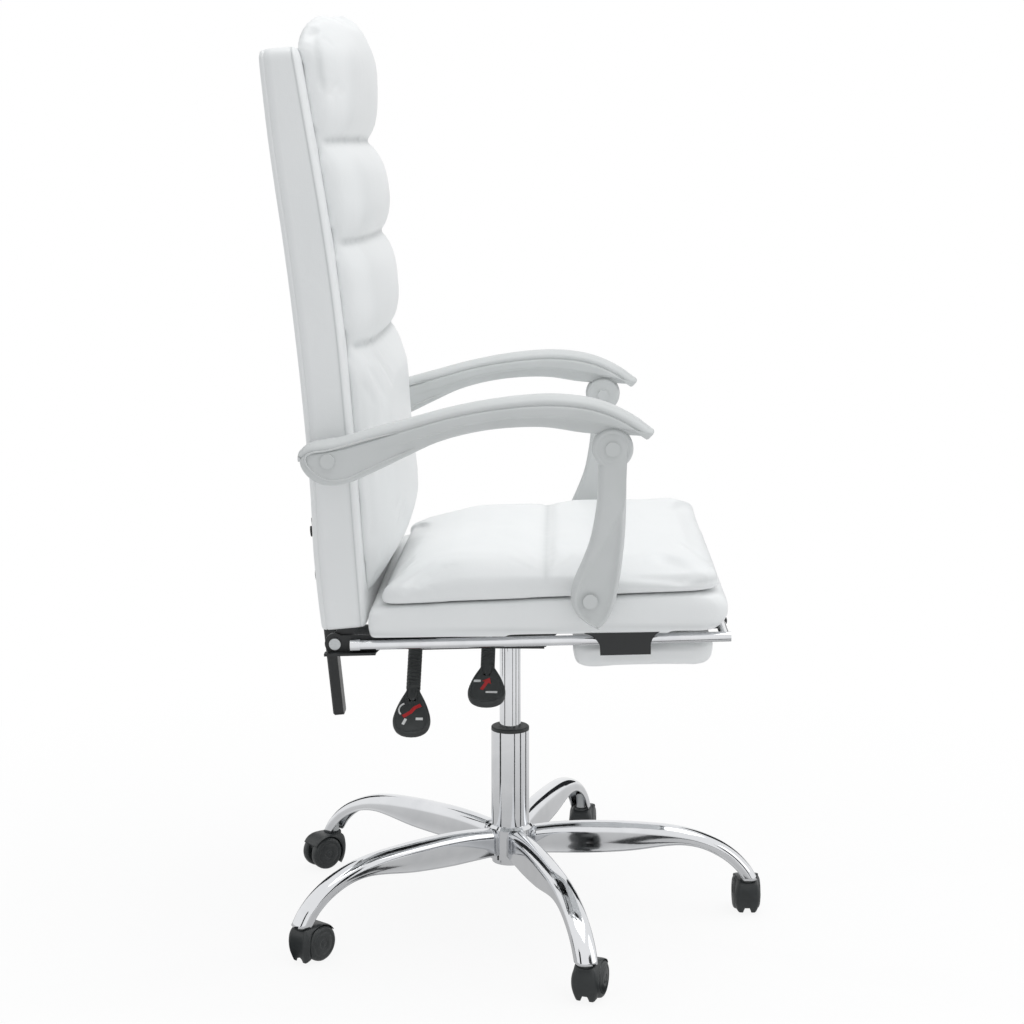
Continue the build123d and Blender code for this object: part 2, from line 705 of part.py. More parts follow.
# Mechanism plate with the taper socket
screw_spots = [
    (side * (PLATE_HALF_WIDTH - SCREW_HEAD_RADIUS * 3), along)
    for side in SIDES.values()
    for along in (SCREW_HEAD_RADIUS * 3 - PLATE_FRONT, PLATE_REAR - SCREW_HEAD_RADIUS * 3)
]
with BuildPart() as mechanism_plate:
    with BuildSketch(seat_plan):
        with Locations((0, (PLATE_REAR - PLATE_FRONT) / 2)):
            RectangleRounded(PLATE_HALF_WIDTH * 2, PLATE_FRONT + PLATE_REAR, SCREW_HEAD_RADIUS * 2)
        with Locations(*screw_spots):
            Circle(SCREW_RADIUS + RUNNING_FIT, mode=Mode.SUBTRACT)
    extrude(amount=-PLATE_THICKNESS)
    for side in SIDES.values():
        with BuildSketch(seat_side.offset(side * WEB_PLACE)):
            with BuildLine():
                Polyline(
                    (-PLATE_FRONT, 0),
                    (PLATE_REAR, 0),
                    (PLATE_REAR, -WEB_DROP),
                    (-PAN_HALF_LENGTH, -WEB_DROP),
                    (-PLATE_FRONT, -WEB_DROP / 2),
                    close=True,
                )
            make_face()
        extrude(amount=side * PLATE_THICKNESS)
    with BuildSketch(Plane.XY.offset(PAN_Z)):
        Rectangle((WEB_PLACE + PLATE_THICKNESS) * 2, PAN_HALF_LENGTH * 2)
    extrude(amount=PLATE_THICKNESS)
    with BuildSketch(Plane.XY.offset(SOCKET_BOTTOM)):
        Circle(SOCKET_RADIUS)
    extrude(amount=SOCKET_TOP - SOCKET_BOTTOM)
    revolve(
        turned(
            (0, SOCKET_BOTTOM),
            (CYLINDER_RADIUS + RUNNING_FIT, SOCKET_BOTTOM),
            (CYLINDER_RADIUS - CYLINDER_TAPER + RUNNING_FIT, cylinder_top),
            (CYLINDER_RADIUS - CYLINDER_TAPER + RUNNING_FIT, SOCKET_TOP),
            (0, SOCKET_TOP),
        ),
        axis=Axis.Z,
        mode=Mode.SUBTRACT,
    )
    with BuildSketch(Plane.YZ.offset(-WEB_PLACE - PLATE_THICKNESS * 2)):
        with Locations((LIFT_LEVER_Y, LEVER_Z), (LOCK_LEVER_Y, LEVER_Z)):
            Circle(LEVER_ROD_RADIUS + LEVER_HOLE_PLAY)
    extrude(amount=PLATE_THICKNESS * 3, mode=Mode.SUBTRACT)
    with BuildSketch(Plane.YZ):
        with Locations((ANCHOR_PIN_Y, strut_z)):
            Circle(ANCHOR_PIN_RADIUS + RUNNING_FIT)
    extrude(amount=PLATE_HALF_WIDTH, both=True, mode=Mode.SUBTRACT)
save(mechanism_plate, "mechanism_plate")

# Recline lock: release head, pin, rod and cylinder
with BuildPart() as strut_release_head:
    with BuildSketch(Plane.YZ):
        with BuildLine():
            Polyline(
                (HEAD_FRONT, HEAD_BOTTOM),
                (HEAD_REAR, HEAD_BOTTOM),
                (HEAD_REAR, HEAD_TOP - HEAD_HALF_WIDTH / 2),
                (HEAD_REAR - HEAD_HALF_WIDTH / 2, HEAD_TOP),
                (HEAD_FRONT, HEAD_TOP),
                close=True,
            )
        make_face()
    extrude(amount=HEAD_HALF_WIDTH, both=True)
    with BuildSketch(Plane.YZ):
        with Locations((ANCHOR_PIN_Y, strut_z)):
            Circle(ANCHOR_PIN_RADIUS + RUNNING_FIT)
    extrude(amount=HEAD_HALF_WIDTH, both=True, mode=Mode.SUBTRACT)
    with BuildSketch(Plane.XY.offset(HEAD_TOP)):
        with Locations((0, LOCK_LEVER_Y)):
            Circle(LOCK_PIN_RADIUS + RUNNING_FIT)
    extrude(amount=-LOCK_PIN_DEPTH - PIN_PROUD, mode=Mode.SUBTRACT)
    with BuildSketch(Plane.XZ.offset(-HEAD_REAR)):
        with Locations((0, strut_z)):
            Circle(STRUT_ROD_RADIUS + RUNNING_FIT)
    extrude(amount=STRUT_ROD_GRIP, mode=Mode.SUBTRACT)
save(strut_release_head, "strut_release_head")

with BuildPart() as lock_release_pin:
    with BuildSketch(Plane.XY.offset(pin_top)):
        with Locations((0, LOCK_LEVER_Y)):
            Circle(LOCK_PIN_RADIUS)
    extrude(amount=HEAD_TOP - LOCK_PIN_DEPTH - pin_top)
    chamfer(lock_release_pin.edges().sort_by(Axis.Z)[-1], length=LOCK_PIN_RADIUS * 0.25)
save(lock_release_pin, "lock_release_pin")

with BuildPart() as strut_rod:
    with BuildSketch(Plane.XZ.offset(STRUT_ROD_GRIP - HEAD_REAR)):
        with Locations((0, strut_z)):
            Circle(STRUT_ROD_RADIUS)
    extrude(amount=HEAD_REAR - STRUT_ROD_GRIP - strut_front - STRUT_ROD_GRIP * 0.7)
save(strut_rod, "strut_rod")

with BuildPart() as strut_cylinder:
    with BuildSketch(Plane.XZ.offset(-strut_rear)):
        with Locations((0, strut_z)):
            Circle(STRUT_RADIUS)
    extrude(amount=STRUT_LENGTH)
    with BuildSketch(Plane.YZ):
        with Locations((eye_y, strut_z)):
            Circle(eye_outer)
    extrude(amount=STRUT_EYE_HALF_WIDTH, both=True)
    with BuildSketch(Plane.YZ):
        with Locations(((strut_rear + eye_y) / 2, strut_z)):
            Rectangle(eye_y - strut_rear, STRUT_EYE_RADIUS * 3)
    extrude(amount=STRUT_EYE_HALF_WIDTH, both=True)
    with BuildSketch(Plane.YZ):
        with Locations((eye_y, strut_z)):
            Circle(STRUT_EYE_RADIUS + STRUT_PLAY)
    extrude(amount=STRUT_RADIUS * 2, both=True, mode=Mode.SUBTRACT)
    with BuildSketch(Plane.XZ.offset(-strut_front)):
        with Locations((0, strut_z)):
            Circle(STRUT_ROD_RADIUS + RUNNING_FIT)
    extrude(amount=STRUT_WALL - STRUT_LENGTH, mode=Mode.SUBTRACT)
save(strut_cylinder, "strut_cylinder")


# Hand levers: bent rod with its finger, and the ribbed grip with its paddle
def lever_rod(lever_y, pin_y, slope, reach):
    """Bent rod from the finger over the release pin to the paddle."""
    along = (-cos(radians(slope)), -sin(radians(slope)))
    end = (along[0] * reach - LEVER_BEND_X, along[1] * reach + LEVER_Z)
    inner = -FINGER_HALF_WIDTH * 2.5
    root = -FINGER_HALF_WIDTH * 4
    with BuildPart() as rod:
        with BuildLine(Plane.XZ.offset(-lever_y)) as path:
            FilletPolyline((inner, LEVER_Z), (-LEVER_BEND_X, LEVER_Z), end, radius=LEVER_ROD_RADIUS * 2.5)
        with BuildSketch(Plane(origin=(inner, lever_y, LEVER_Z), z_dir=(-1, 0, 0))):
            Circle(LEVER_ROD_RADIUS)
        sweep(path=path.line)
        with BuildSketch(Plane.XY.offset(finger_bottom)):
            with BuildLine():
                Polyline(
                    (root, pin_y - FINGER_HALF_WIDTH),
                    (FINGER_TIP, pin_y - FINGER_HALF_WIDTH),
                    (FINGER_TIP, pin_y + FINGER_HALF_WIDTH),
                    (-FINGER_HALF_WIDTH * 2, pin_y + FINGER_HALF_WIDTH),
                    (-FINGER_HALF_WIDTH * 2, lever_y + FINGER_HALF_WIDTH + PLAY),
                    (root, lever_y + FINGER_HALF_WIDTH + PLAY),
                    close=True,
                )
            make_face()
        extrude(amount=FINGER_THICKNESS)
    return rod


def lever_grip(lever_y, slope, neck):
    """Ribbed neck and flat paddle on the sloping end of the rod."""
    bend = Vector(-LEVER_BEND_X, lever_y, LEVER_Z)
    along = Vector(-cos(radians(slope)), 0, -sin(radians(slope)))
    facing = Vector(-sin(radians(slope)), 0, cos(radians(slope)))
    ribs = int((neck - GRIP_START) / GRIP_PITCH)
    zigzag = [(GRIP_START, 0)]
    for rib in range(ribs):
        start = GRIP_START + rib * GRIP_PITCH
        zigzag += [
            (start, GRIP_RADIUS - GRIP_GROOVE),
            (start + GRIP_PITCH * 0.25, GRIP_RADIUS),
            (start + GRIP_PITCH * 0.75, GRIP_RADIUS),
        ]
    zigzag += [(neck, GRIP_RADIUS - GRIP_GROOVE), (neck + PADDLE_LENGTH * 0.2, GRIP_RADIUS - GRIP_GROOVE)]
    zigzag += [(neck + PADDLE_LENGTH * 0.2, 0)]
    tip = neck + PADDLE_LENGTH
    tip_corner = tip - PADDLE_LENGTH * 0.02
    tip_half = PADDLE_HALF_WIDTH * 0.42
    wide = neck + PADDLE_LENGTH * 0.66
    with BuildPart() as grip:
        with BuildSketch(Plane(origin=bend, x_dir=along, z_dir=facing)):
            with BuildLine():
                Line((neck, -GRIP_RADIUS), (neck, GRIP_RADIUS))
                flank = ThreePointArc(
                    (neck, GRIP_RADIUS),
                    (neck + PADDLE_LENGTH * 0.3, PADDLE_HALF_WIDTH * 0.76),
                    (wide, PADDLE_HALF_WIDTH),
                )
                shoulder = ThreePointArc(
                    flank @ 1,
                    (tip - PADDLE_LENGTH * 0.1, PADDLE_HALF_WIDTH * 0.8),
                    (tip_corner, tip_half),
                )
                end = ThreePointArc(shoulder @ 1, (tip, 0), (tip_corner, -tip_half))
                shoulder_back = ThreePointArc(
                    end @ 1,
                    (tip - PADDLE_LENGTH * 0.1, -PADDLE_HALF_WIDTH * 0.8),
                    (wide, -PADDLE_HALF_WIDTH),
                )
                ThreePointArc(
                    shoulder_back @ 1,
                    (neck + PADDLE_LENGTH * 0.3, -PADDLE_HALF_WIDTH * 0.76),
                    (neck, -GRIP_RADIUS),
                )
            make_face()
        extrude(amount=PADDLE_THICKNESS / 2, both=True)
        paddle_faces = grip.faces().sort_by(SortBy.AREA)[-2:]
        fillet(paddle_faces.edges(), radius=PADDLE_EDGE)
        with BuildSketch(Plane(origin=bend, x_dir=along, z_dir=(0, 1, 0))):
            with BuildLine():
                Polyline(*zigzag, close=True)
            make_face()
        revolve(axis=Axis(bend, along))
        with BuildSketch(Plane(origin=bend, z_dir=along)):
            Circle(LEVER_ROD_RADIUS + RUNNING_FIT)
        extrude(amount=neck + PADDLE_LENGTH * 0.4, mode=Mode.SUBTRACT)
    return grip


lift_rod = lever_rod(LIFT_LEVER_Y, 0, LIFT_LEVER_SLOPE, LIFT_NECK + PADDLE_LENGTH * 0.4)
save(lift_rod, "lift_lever_rod")
lift_grip = lever_grip(LIFT_LEVER_Y, LIFT_LEVER_SLOPE, LIFT_NECK)
save(lift_grip, "lift_lever_grip")
lock_rod = lever_rod(LOCK_LEVER_Y, LOCK_LEVER_Y, LOCK_LEVER_SLOPE, LOCK_NECK + PADDLE_LENGTH * 0.4)
save(lock_rod, "lock_lever_rod")
lock_grip = lever_grip(LOCK_LEVER_Y, LOCK_LEVER_SLOPE, LOCK_NECK)
save(lock_grip, "lock_lever_grip")

# Seat: wooden frame, upholstered box and loose top pad
board_half_width = SEAT_HALF_WIDTH - BOARD_INSET
board_front = SEAT_FRONT - BOARD_INSET
board_rear = SEAT_REAR - BOARD_INSET
board_middle = (board_rear - board_front) / 2
post_bolt_place = on_seat(POST_PIVOT)
hinge_place = on_seat((HINGE_Y, HINGE_Z))
guide_screw_x = RAIL_X - GUIDE_HALF_WIDTH - GUIDE_FLANGE / 2
hinge_flange = GUIDE_FLANGE - HINGE_PLATE
hinge_screw_x = HINGE_X - hinge_flange / 2
screw_rows = [(screw_spots, PLATE_THICKNESS)]
for side in SIDES.values():
    guide_row = [(side * guide_screw_x, -GUIDE_REAR - SCREW_HEAD_RADIUS * 2)]
    guide_row += [(side * guide_screw_x, -GUIDE_FRONT + SCREW_HEAD_RADIUS * 2)]
    hinge_row = [(side * hinge_screw_x, HINGE_BRACKET_FRONT + SCREW_HEAD_RADIUS * 2)]
    hinge_row += [(side * hinge_screw_x, board_rear - SCREW_HEAD_RADIUS * 2)]
    screw_rows += [(guide_row, GUIDE_PLATE), (hinge_row, HINGE_LIP)]

with BuildPart() as frame_blank:
    with BuildSketch(seat_plan):
        with Locations((0, board_middle)):
            RectangleRounded(board_half_width * 2, board_front + board_rear, SEAT_CORNER - BOARD_INSET)
    extrude(amount=BOARD_THICKNESS)
    with BuildSketch(seat_plan.offset(BOARD_THICKNESS)):
        for side in SIDES.values():
            with Locations((side * (board_half_width - SIDE_RAIL_WIDTH / 2), board_middle)):
                Rectangle(SIDE_RAIL_WIDTH, board_front + board_rear - SEAT_CORNER * 2)
    extrude(amount=SIDE_RAIL_TOP - BOARD_THICKNESS)

with BuildPart() as seat_frame:
    add(frame_blank.part)
    with BuildSketch(seat_plan):
        for spots, thickness in screw_rows:
            with Locations(*spots):
                Circle(SCREW_RADIUS + RUNNING_FIT)
    extrude(amount=SCREW_LENGTH, mode=Mode.SUBTRACT)
    with BuildSketch(seat_side):
        with Locations(post_bolt_place):
            Circle(ARM_BOLT_RADIUS + RUNNING_FIT)
    extrude(amount=SEAT_HALF_WIDTH, both=True, mode=Mode.SUBTRACT)
save(seat_frame, "seat_frame")

with BuildPart() as seat_base:
    with BuildSketch(seat_side):
        with BuildLine():
            Polyline(
                (-SEAT_FRONT + SEAT_NOSE, 0),
                (SEAT_REAR, 0),
                (SEAT_REAR, SEAT_REAR_HEIGHT),
                (PAD_REAR, SEAT_BOX_HEIGHT),
                (-SEAT_FRONT, SEAT_BOX_HEIGHT),
            )
            ThreePointArc(
                (-SEAT_FRONT, SEAT_BOX_HEIGHT),
                (-SEAT_FRONT - SEAT_NOSE, SEAT_BOX_HEIGHT / 2),
                (-SEAT_FRONT + SEAT_NOSE, 0),
            )
        make_face()
    extrude(amount=SEAT_HALF_WIDTH, both=True)
    with BuildSketch(seat_plan):
        with Locations((0, (SEAT_REAR - SEAT_FRONT - SEAT_NOSE) / 2)):
            RectangleRounded(SEAT_HALF_WIDTH * 2, SEAT_FRONT + SEAT_NOSE + SEAT_REAR, SEAT_CORNER)
    extrude(amount=SEAT_BOX_HEIGHT, mode=Mode.INTERSECT)
    with BuildSketch(seat_face):
        with BuildLine():
            top_half = SEAT_HALF_WIDTH - SEAT_DRAW
            low_half = SEAT_HALF_WIDTH - SEAT_SIDE_ROUND
            half_height = SEAT_BOX_HEIGHT / 2
            Line((-low_half, 0), (low_half, 0))
            ThreePointArc((low_half, 0), (SEAT_HALF_WIDTH, half_height), (top_half, SEAT_BOX_HEIGHT))
            Line((top_half, SEAT_BOX_HEIGHT), (-top_half, SEAT_BOX_HEIGHT))
            ThreePointArc((-top_half, SEAT_BOX_HEIGHT), (-SEAT_HALF_WIDTH, half_height), (-low_half, 0))
        make_face()
    extrude(amount=SEAT_FRONT * 2, both=True, mode=Mode.INTERSECT)
    add(frame_blank.part, mode=Mode.SUBTRACT)
    with BuildSketch(seat_side):
        with Locations(post_bolt_place):
            Circle(ARM_SHOULDER_RADIUS + RUNNING_FIT)
    extrude(amount=SEAT_HALF_WIDTH * 2, both=True, mode=Mode.SUBTRACT)
save(seat_base, "seat_base")

pad_stations = [-PAD_FRONT + PAD_ROLL * share for share in (0, 0.06, 0.2, 0.5, 1)]
pad_stations += [(PAD_ROLL - PAD_FRONT + PAD_SEAM_PLACE - PAD_SEAM_REACH) / 2]
pad_stations += [PAD_SEAM_PLACE + PAD_SEAM_REACH * share for share in (-1, -0.4, 0, 0.4, 1)]
pad_stations += [(PAD_SEAM_PLACE + PAD_REAR) / 2]
pad_stations += [PAD_REAR - PAD_ROLL / 2 * share for share in (1, 0.5, 0.2, 0)]
pad_sections = []
for station in pad_stations:
    front_share = rolled(station + PAD_FRONT, PAD_ROLL)
    rear_share = rolled(PAD_REAR - station, PAD_ROLL / 2)
    height_share = SECTION_LEAST + (1 - SECTION_LEAST) * front_share * rear_share
    seam_share = 1 - rolled(abs(station - PAD_SEAM_PLACE), PAD_SEAM_REACH)
    corner_cut = PAD_CORNER * (1 - rolled(station + PAD_FRONT, PAD_CORNER))
    pad_sections.append(
        padded_section(
            seat_face.offset(-station),
            SEAT_BOX_HEIGHT,
            1,
            PAD_HALF_WIDTH - corner_cut - PAD_DRAW * seam_share,
            PAD_EDGE * height_share,
            PAD_CROWN * height_share - PAD_SEAM_DEPTH * seam_share,
            PAD_BULGE,
            PAD_SHOULDER,
        )
    )
with BuildPart() as seat_pad:
    loft(sections=pad_sections, ruled=True)
save(seat_pad, "seat_pad")

# Footrest rail guides and their bushes under the seat sides
with BuildPart() as rail_guides:
    for side in SIDES.values():
        with BuildSketch(seat_face.offset(GUIDE_REAR)):
            with Locations((side * RAIL_X, -GUIDE_DROP / 2)):
                Rectangle(GUIDE_HALF_WIDTH * 2, GUIDE_DROP)
                Rectangle(
                    (GUIDE_HALF_WIDTH - GUIDE_PLATE) * 2,
                    GUIDE_DROP - GUIDE_PLATE * 2,
                    mode=Mode.SUBTRACT,
                )
            with Locations((side * guide_screw_x, -GUIDE_PLATE / 2)):
                Rectangle(GUIDE_FLANGE, GUIDE_PLATE)
        extrude(amount=GUIDE_FRONT - GUIDE_REAR)
        with BuildSketch(seat_side.offset(side * (RAIL_X + GUIDE_HALF_WIDTH))):
            with BuildLine():
                Line((-GUIDE_REAR + GUIDE_FLARE_REAR, 0), (-GUIDE_FRONT - GUIDE_FLARE_FRONT, 0))
                ThreePointArc(
                    (-GUIDE_FRONT - GUIDE_FLARE_FRONT, 0),
                    (-GUIDE_FRONT - GUIDE_FLARE_FRONT * FLARE_MIDDLE, -GUIDE_FLARE_DROP * FLARE_MIDDLE),
                    (-GUIDE_FRONT, -GUIDE_FLARE_DROP),
                )
                Line((-GUIDE_FRONT, -GUIDE_FLARE_DROP), (-GUIDE_REAR, -GUIDE_FLARE_DROP))
                ThreePointArc(
                    (-GUIDE_REAR, -GUIDE_FLARE_DROP),
                    (-GUIDE_REAR + GUIDE_FLARE_REAR * FLARE_MIDDLE, -GUIDE_FLARE_DROP * FLARE_MIDDLE),
                    (-GUIDE_REAR + GUIDE_FLARE_REAR, 0),
                )
            make_face()
        extrude(amount=-side * GUIDE_PLATE)
    with BuildSketch(seat_plan):
        for spots, thickness in screw_rows:
            if thickness == GUIDE_PLATE:
                with Locations(*spots):
                    Circle(SCREW_RADIUS + RUNNING_FIT)
    extrude(amount=-GUIDE_PLATE, mode=Mode.SUBTRACT)
save(rail_guides, "rail_guides")

with BuildPart() as rail_bushes:
    for side in SIDES.values():
        with BuildSketch(seat_face.offset(GUIDE_REAR)):
            with Locations((side * RAIL_X, -GUIDE_DROP / 2)):
                Rectangle((GUIDE_HALF_WIDTH - GUIDE_PLATE) * 2, GUIDE_DROP - GUIDE_PLATE * 2)
            with Locations((side * RAIL_X, -RAIL_DROP)):
                Circle(RAIL_RADIUS + RUNNING_FIT, mode=Mode.SUBTRACT)
        extrude(amount=GUIDE_FRONT - GUIDE_REAR)
save(rail_bushes, "rail_bushes")

# Recline hinge: brackets under the seat, leaves on the back
lip_bottom = hinge_place[1] - HINGE_END
hinge_outer_x = HINGE_X + HINGE_PLATE
leaf_outer_x = HINGE_X - PLAY
leaf_inner_x = leaf_outer_x - HINGE_PLATE
with BuildPart() as hinge_seat_brackets:
    for side in SIDES.values():
        with BuildSketch(seat_side.offset(side * HINGE_X)):
            with BuildLine():
                Polyline(
                    (HINGE_BRACKET_FRONT, 0),
                    (hinge_place[0], 0),
                    (hinge_place[0], lip_bottom),
                    (HINGE_LIP_FRONT, lip_bottom),
                    (HINGE_LIP_FRONT - HINGE_END, lip_bottom / 2),
                    (HINGE_BRACKET_FRONT, lip_bottom / 2),
                    close=True,
                )
            make_face()
            with Locations(hinge_place):
                Circle(HINGE_END)
        extrude(amount=side * HINGE_PLATE)
        flange_width = hinge_flange + HINGE_PLATE
        flange_middle = (HINGE_BRACKET_FRONT + board_rear) / 2
        with BuildSketch(seat_plan):
            with Locations((side * (hinge_outer_x - flange_width / 2), flange_middle)):
                Rectangle(flange_width, board_rear - HINGE_BRACKET_FRONT)
        extrude(amount=-HINGE_LIP)
        lip_rear = hinge_place[0] + HINGE_END
        with BuildSketch(seat_plan.offset(lip_bottom)):
            with Locations((side * (hinge_outer_x + HINGE_LIP_WIDTH / 2), (HINGE_LIP_FRONT + lip_rear) / 2)):
                Rectangle(HINGE_LIP_WIDTH, lip_rear - HINGE_LIP_FRONT)
            root_length = hinge_place[0] - HINGE_LIP_FRONT
            with Locations((side * (hinge_outer_x - HINGE_PLATE / 2), HINGE_LIP_FRONT + root_length / 2)):
                Rectangle(HINGE_PLATE, root_length)
        extrude(amount=HINGE_LIP)
    with BuildSketch(seat_side):
        with Locations(hinge_place):
            Circle(HINGE_BOLT_RADIUS + RUNNING_FIT)
    extrude(amount=SEAT_HALF_WIDTH, both=True, mode=Mode.SUBTRACT)
    with BuildSketch(seat_plan):
        for spots, thickness in screw_rows:
            if thickness == HINGE_LIP:
                with Locations(*spots):
                    Circle(SCREW_RADIUS + RUNNING_FIT)
    extrude(amount=-HINGE_LIP, mode=Mode.SUBTRACT)
save(hinge_seat_brackets, "hinge_seat_brackets")

with BuildPart() as seat_fasteners:
    for spots, thickness in screw_rows:
        with BuildSketch(seat_plan.offset(-thickness)):
            with Locations(*spots):
                Circle(SCREW_RADIUS)
        extrude(amount=SCREW_LENGTH)
        with BuildSketch(seat_plan.offset(-thickness)):
            with Locations(*spots):
                Circle(SCREW_HEAD_RADIUS)
        extrude(amount=-SCREW_HEAD_HEIGHT)
    for side in SIDES.values():
        nut_outer = leaf_inner_x - PLAY
        with BuildSketch(seat_side.offset(side * (nut_outer - HINGE_BOLT_HEAD))):
            with Locations(hinge_place):
                Circle(HINGE_BOLT_RADIUS)
        extrude(amount=side * (hinge_outer_x - nut_outer + HINGE_BOLT_HEAD))
        with BuildSketch(seat_side.offset(side * hinge_outer_x)):
            with Locations(hinge_place):
                Circle(HINGE_BOLT_HEAD)
        extrude(amount=side * HINGE_BOLT_RADIUS)
        with BuildSketch(seat_side.offset(side * nut_outer)):
            with Locations(hinge_place):
                RegularPolygon(HINGE_BOLT_HEAD, 6)
        extrude(amount=-side * HINGE_BOLT_RADIUS)
    with BuildSketch(Plane.YZ):
        with Locations((ANCHOR_PIN_Y, strut_z)):
            Circle(ANCHOR_PIN_RADIUS)
    extrude(amount=WEB_PLACE + PLATE_THICKNESS * 2, both=True)
save(seat_fasteners, "seat_fasteners")

with BuildPart() as arm_post_bolts:
    for side in SIDES.values():
        cap_start = POST_OUTER_X - RECESS_DEPTH + PLAY
        rail_inner = board_half_width - SIDE_RAIL_WIDTH
        with BuildSketch(Plane.YZ.offset(side * rail_inner)):
            with Locations(POST_PIVOT):
                Circle(ARM_BOLT_RADIUS)
        extrude(amount=side * (cap_start - rail_inner))
        with BuildSketch(Plane.YZ.offset(side * board_half_width)):
            with Locations(POST_PIVOT):
                Circle(ARM_SHOULDER_RADIUS)
        extrude(amount=side * (POST_INNER_X - PLAY - board_half_width))
        with BuildSketch(Plane.YZ.offset(side * cap_start)):
            with Locations(POST_PIVOT):
                Circle(ARM_CAP_RADIUS)
        extrude(amount=side * ARM_CAP_HEIGHT)
save(arm_post_bolts, "arm_post_bolts")

# Back: board with anchor blocks, upholstered shell, panelled cushion
back_half_width = leaf_inner_x
board_rear_face = SHELL_FRONT - BACK_BOARD_THICKNESS
arm_bolt_place = on_back(ARM_PIVOT)
with BuildPart() as board_blank:
    with BuildSketch(back_face.offset(SHELL_FRONT)):
        with Locations((0, (BACK_BOARD_BOTTOM + BACK_BOARD_TOP) / 2)):
            RectangleRounded(back_half_width * 2, BACK_BOARD_TOP - BACK_BOARD_BOTTOM, BACK_BOARD_THICKNESS)
    extrude(amount=-BACK_BOARD_THICKNESS)
    with BuildSketch(back_face.offset(board_rear_face)):
        for side in SIDES.values():
            with Locations((side * (ANCHOR_BLOCK_X - ANCHOR_BLOCK_LENGTH / 2), arm_bolt_place[1])):
                Rectangle(ANCHOR_BLOCK_LENGTH, ANCHOR_BLOCK_HALF * 2)
    extrude(amount=-ANCHOR_BLOCK_DEPTH)

with BuildPart() as back_board:
    add(board_blank.part)
    with BuildSketch(back_side):
        with Locations(arm_bolt_place):
            Circle(ARM_BOLT_RADIUS + RUNNING_FIT)
    extrude(amount=ANCHOR_BLOCK_X, both=True, mode=Mode.SUBTRACT)
    with BuildSketch(back_face.offset(board_rear_face)):
        with Locations(*[(0, place) for place in BAR_BOLT_PLACES]):
            Circle(BAR_BOLT_RADIUS + RUNNING_FIT)
    extrude(amount=BACK_BOARD_THICKNESS * 0.7, mode=Mode.SUBTRACT)
save(back_board, "back_board")

with BuildPart() as back_shell:
    with BuildSketch(back_side):
        with BuildLine():
            Polyline(
                (-SHELL_FRONT, SHELL_BOTTOM),
                (SHELL_REAR - SHELL_EDGE, SHELL_BOTTOM),
                (SHELL_REAR, SHELL_BOTTOM + SHELL_EDGE),
                (SHELL_REAR - SHELL_TOP_THINNING, SHELL_TOP - SHELL_EDGE),
                (SHELL_REAR - SHELL_TOP_THINNING - SHELL_EDGE, SHELL_TOP),
                (-SHELL_FRONT, SHELL_TOP),
                close=True,
            )
        make_face()
    extrude(amount=SHELL_HALF_WIDTH, both=True)
    with BuildSketch(back_face):
        with Locations((0, (SHELL_BOTTOM + SHELL_TOP) / 2)):
            RectangleRounded(SHELL_HALF_WIDTH * 2, SHELL_TOP - SHELL_BOTTOM, SHELL_CORNER)
    extrude(amount=SHELL_FRONT * 2, both=True, mode=Mode.INTERSECT)
    with BuildSketch(back_plan):
        with BuildLine():
            side_rear = SHELL_REAR - SHELL_CROWN
            front_half = SHELL_HALF_WIDTH - SHELL_EDGE / 2
            rear_half = SHELL_HALF_WIDTH - SHELL_EDGE
            Line((-front_half, -SHELL_FRONT), (front_half, -SHELL_FRONT))
            ThreePointArc(
                (front_half, -SHELL_FRONT),
                (SHELL_HALF_WIDTH, (side_rear - SHELL_FRONT) / 2),
                (rear_half, side_rear),
            )
            ThreePointArc((rear_half, side_rear), (0, SHELL_REAR), (-rear_half, side_rear))
            ThreePointArc(
                (-rear_half, side_rear),
                (-SHELL_HALF_WIDTH, (side_rear - SHELL_FRONT) / 2),
                (-front_half, -SHELL_FRONT),
            )
        make_face()
    extrude(amount=SHELL_TOP * 2, both=True, mode=Mode.INTERSECT)
    add(board_blank.part, mode=Mode.SUBTRACT)
    for side in SIDES.values():
        with BuildSketch(back_side.offset(side * (leaf_inner_x - RUNNING_FIT))):
            with Locations((-SHELL_FRONT / 2, LEAF_HEIGHT / 2)):
                Rectangle(SHELL_FRONT, LEAF_HEIGHT)
            Circle(HINGE_END * 2)
        extrude(amount=side * (HINGE_PLATE * 2 + PLAY), mode=Mode.SUBTRACT)
    with BuildSketch(back_side):
        with Locations(arm_bolt_place):
            Circle(ARM_SHOULDER_RADIUS + RUNNING_FIT)
    extrude(amount=SHELL_HALF_WIDTH, both=True, mode=Mode.SUBTRACT)
    with BuildSketch(back_face.offset(board_rear_face)):
        with Locations(*[(0, place) for place in BAR_BOLT_PLACES]):
            Circle(BAR_BOSS_RADIUS + RUNNING_FIT)
    extrude(amount=-SHELL_FRONT * 2, mode=Mode.SUBTRACT)
save(back_shell, "back_shell")


def cushion_depth(height):
    """Thickness of the back cushion over the shell front, without the channels."""
    if height <= CUSHION_SEAMS[-1]:
        rise = rolled(height - CUSHION_BOTTOM, CUSHION_RISE) ** CUSHION_RISE_POWER
        return CUSHION_LEAST + (CUSHION_DEPTH - CUSHION_LEAST) * rise
    roll = rolled(CUSHION_TOP - height, HEAD_ROLL)
    return CUSHION_LEAST + HEAD_LEAN + (CUSHION_DEPTH - CUSHION_LEAST - HEAD_LEAN) * roll


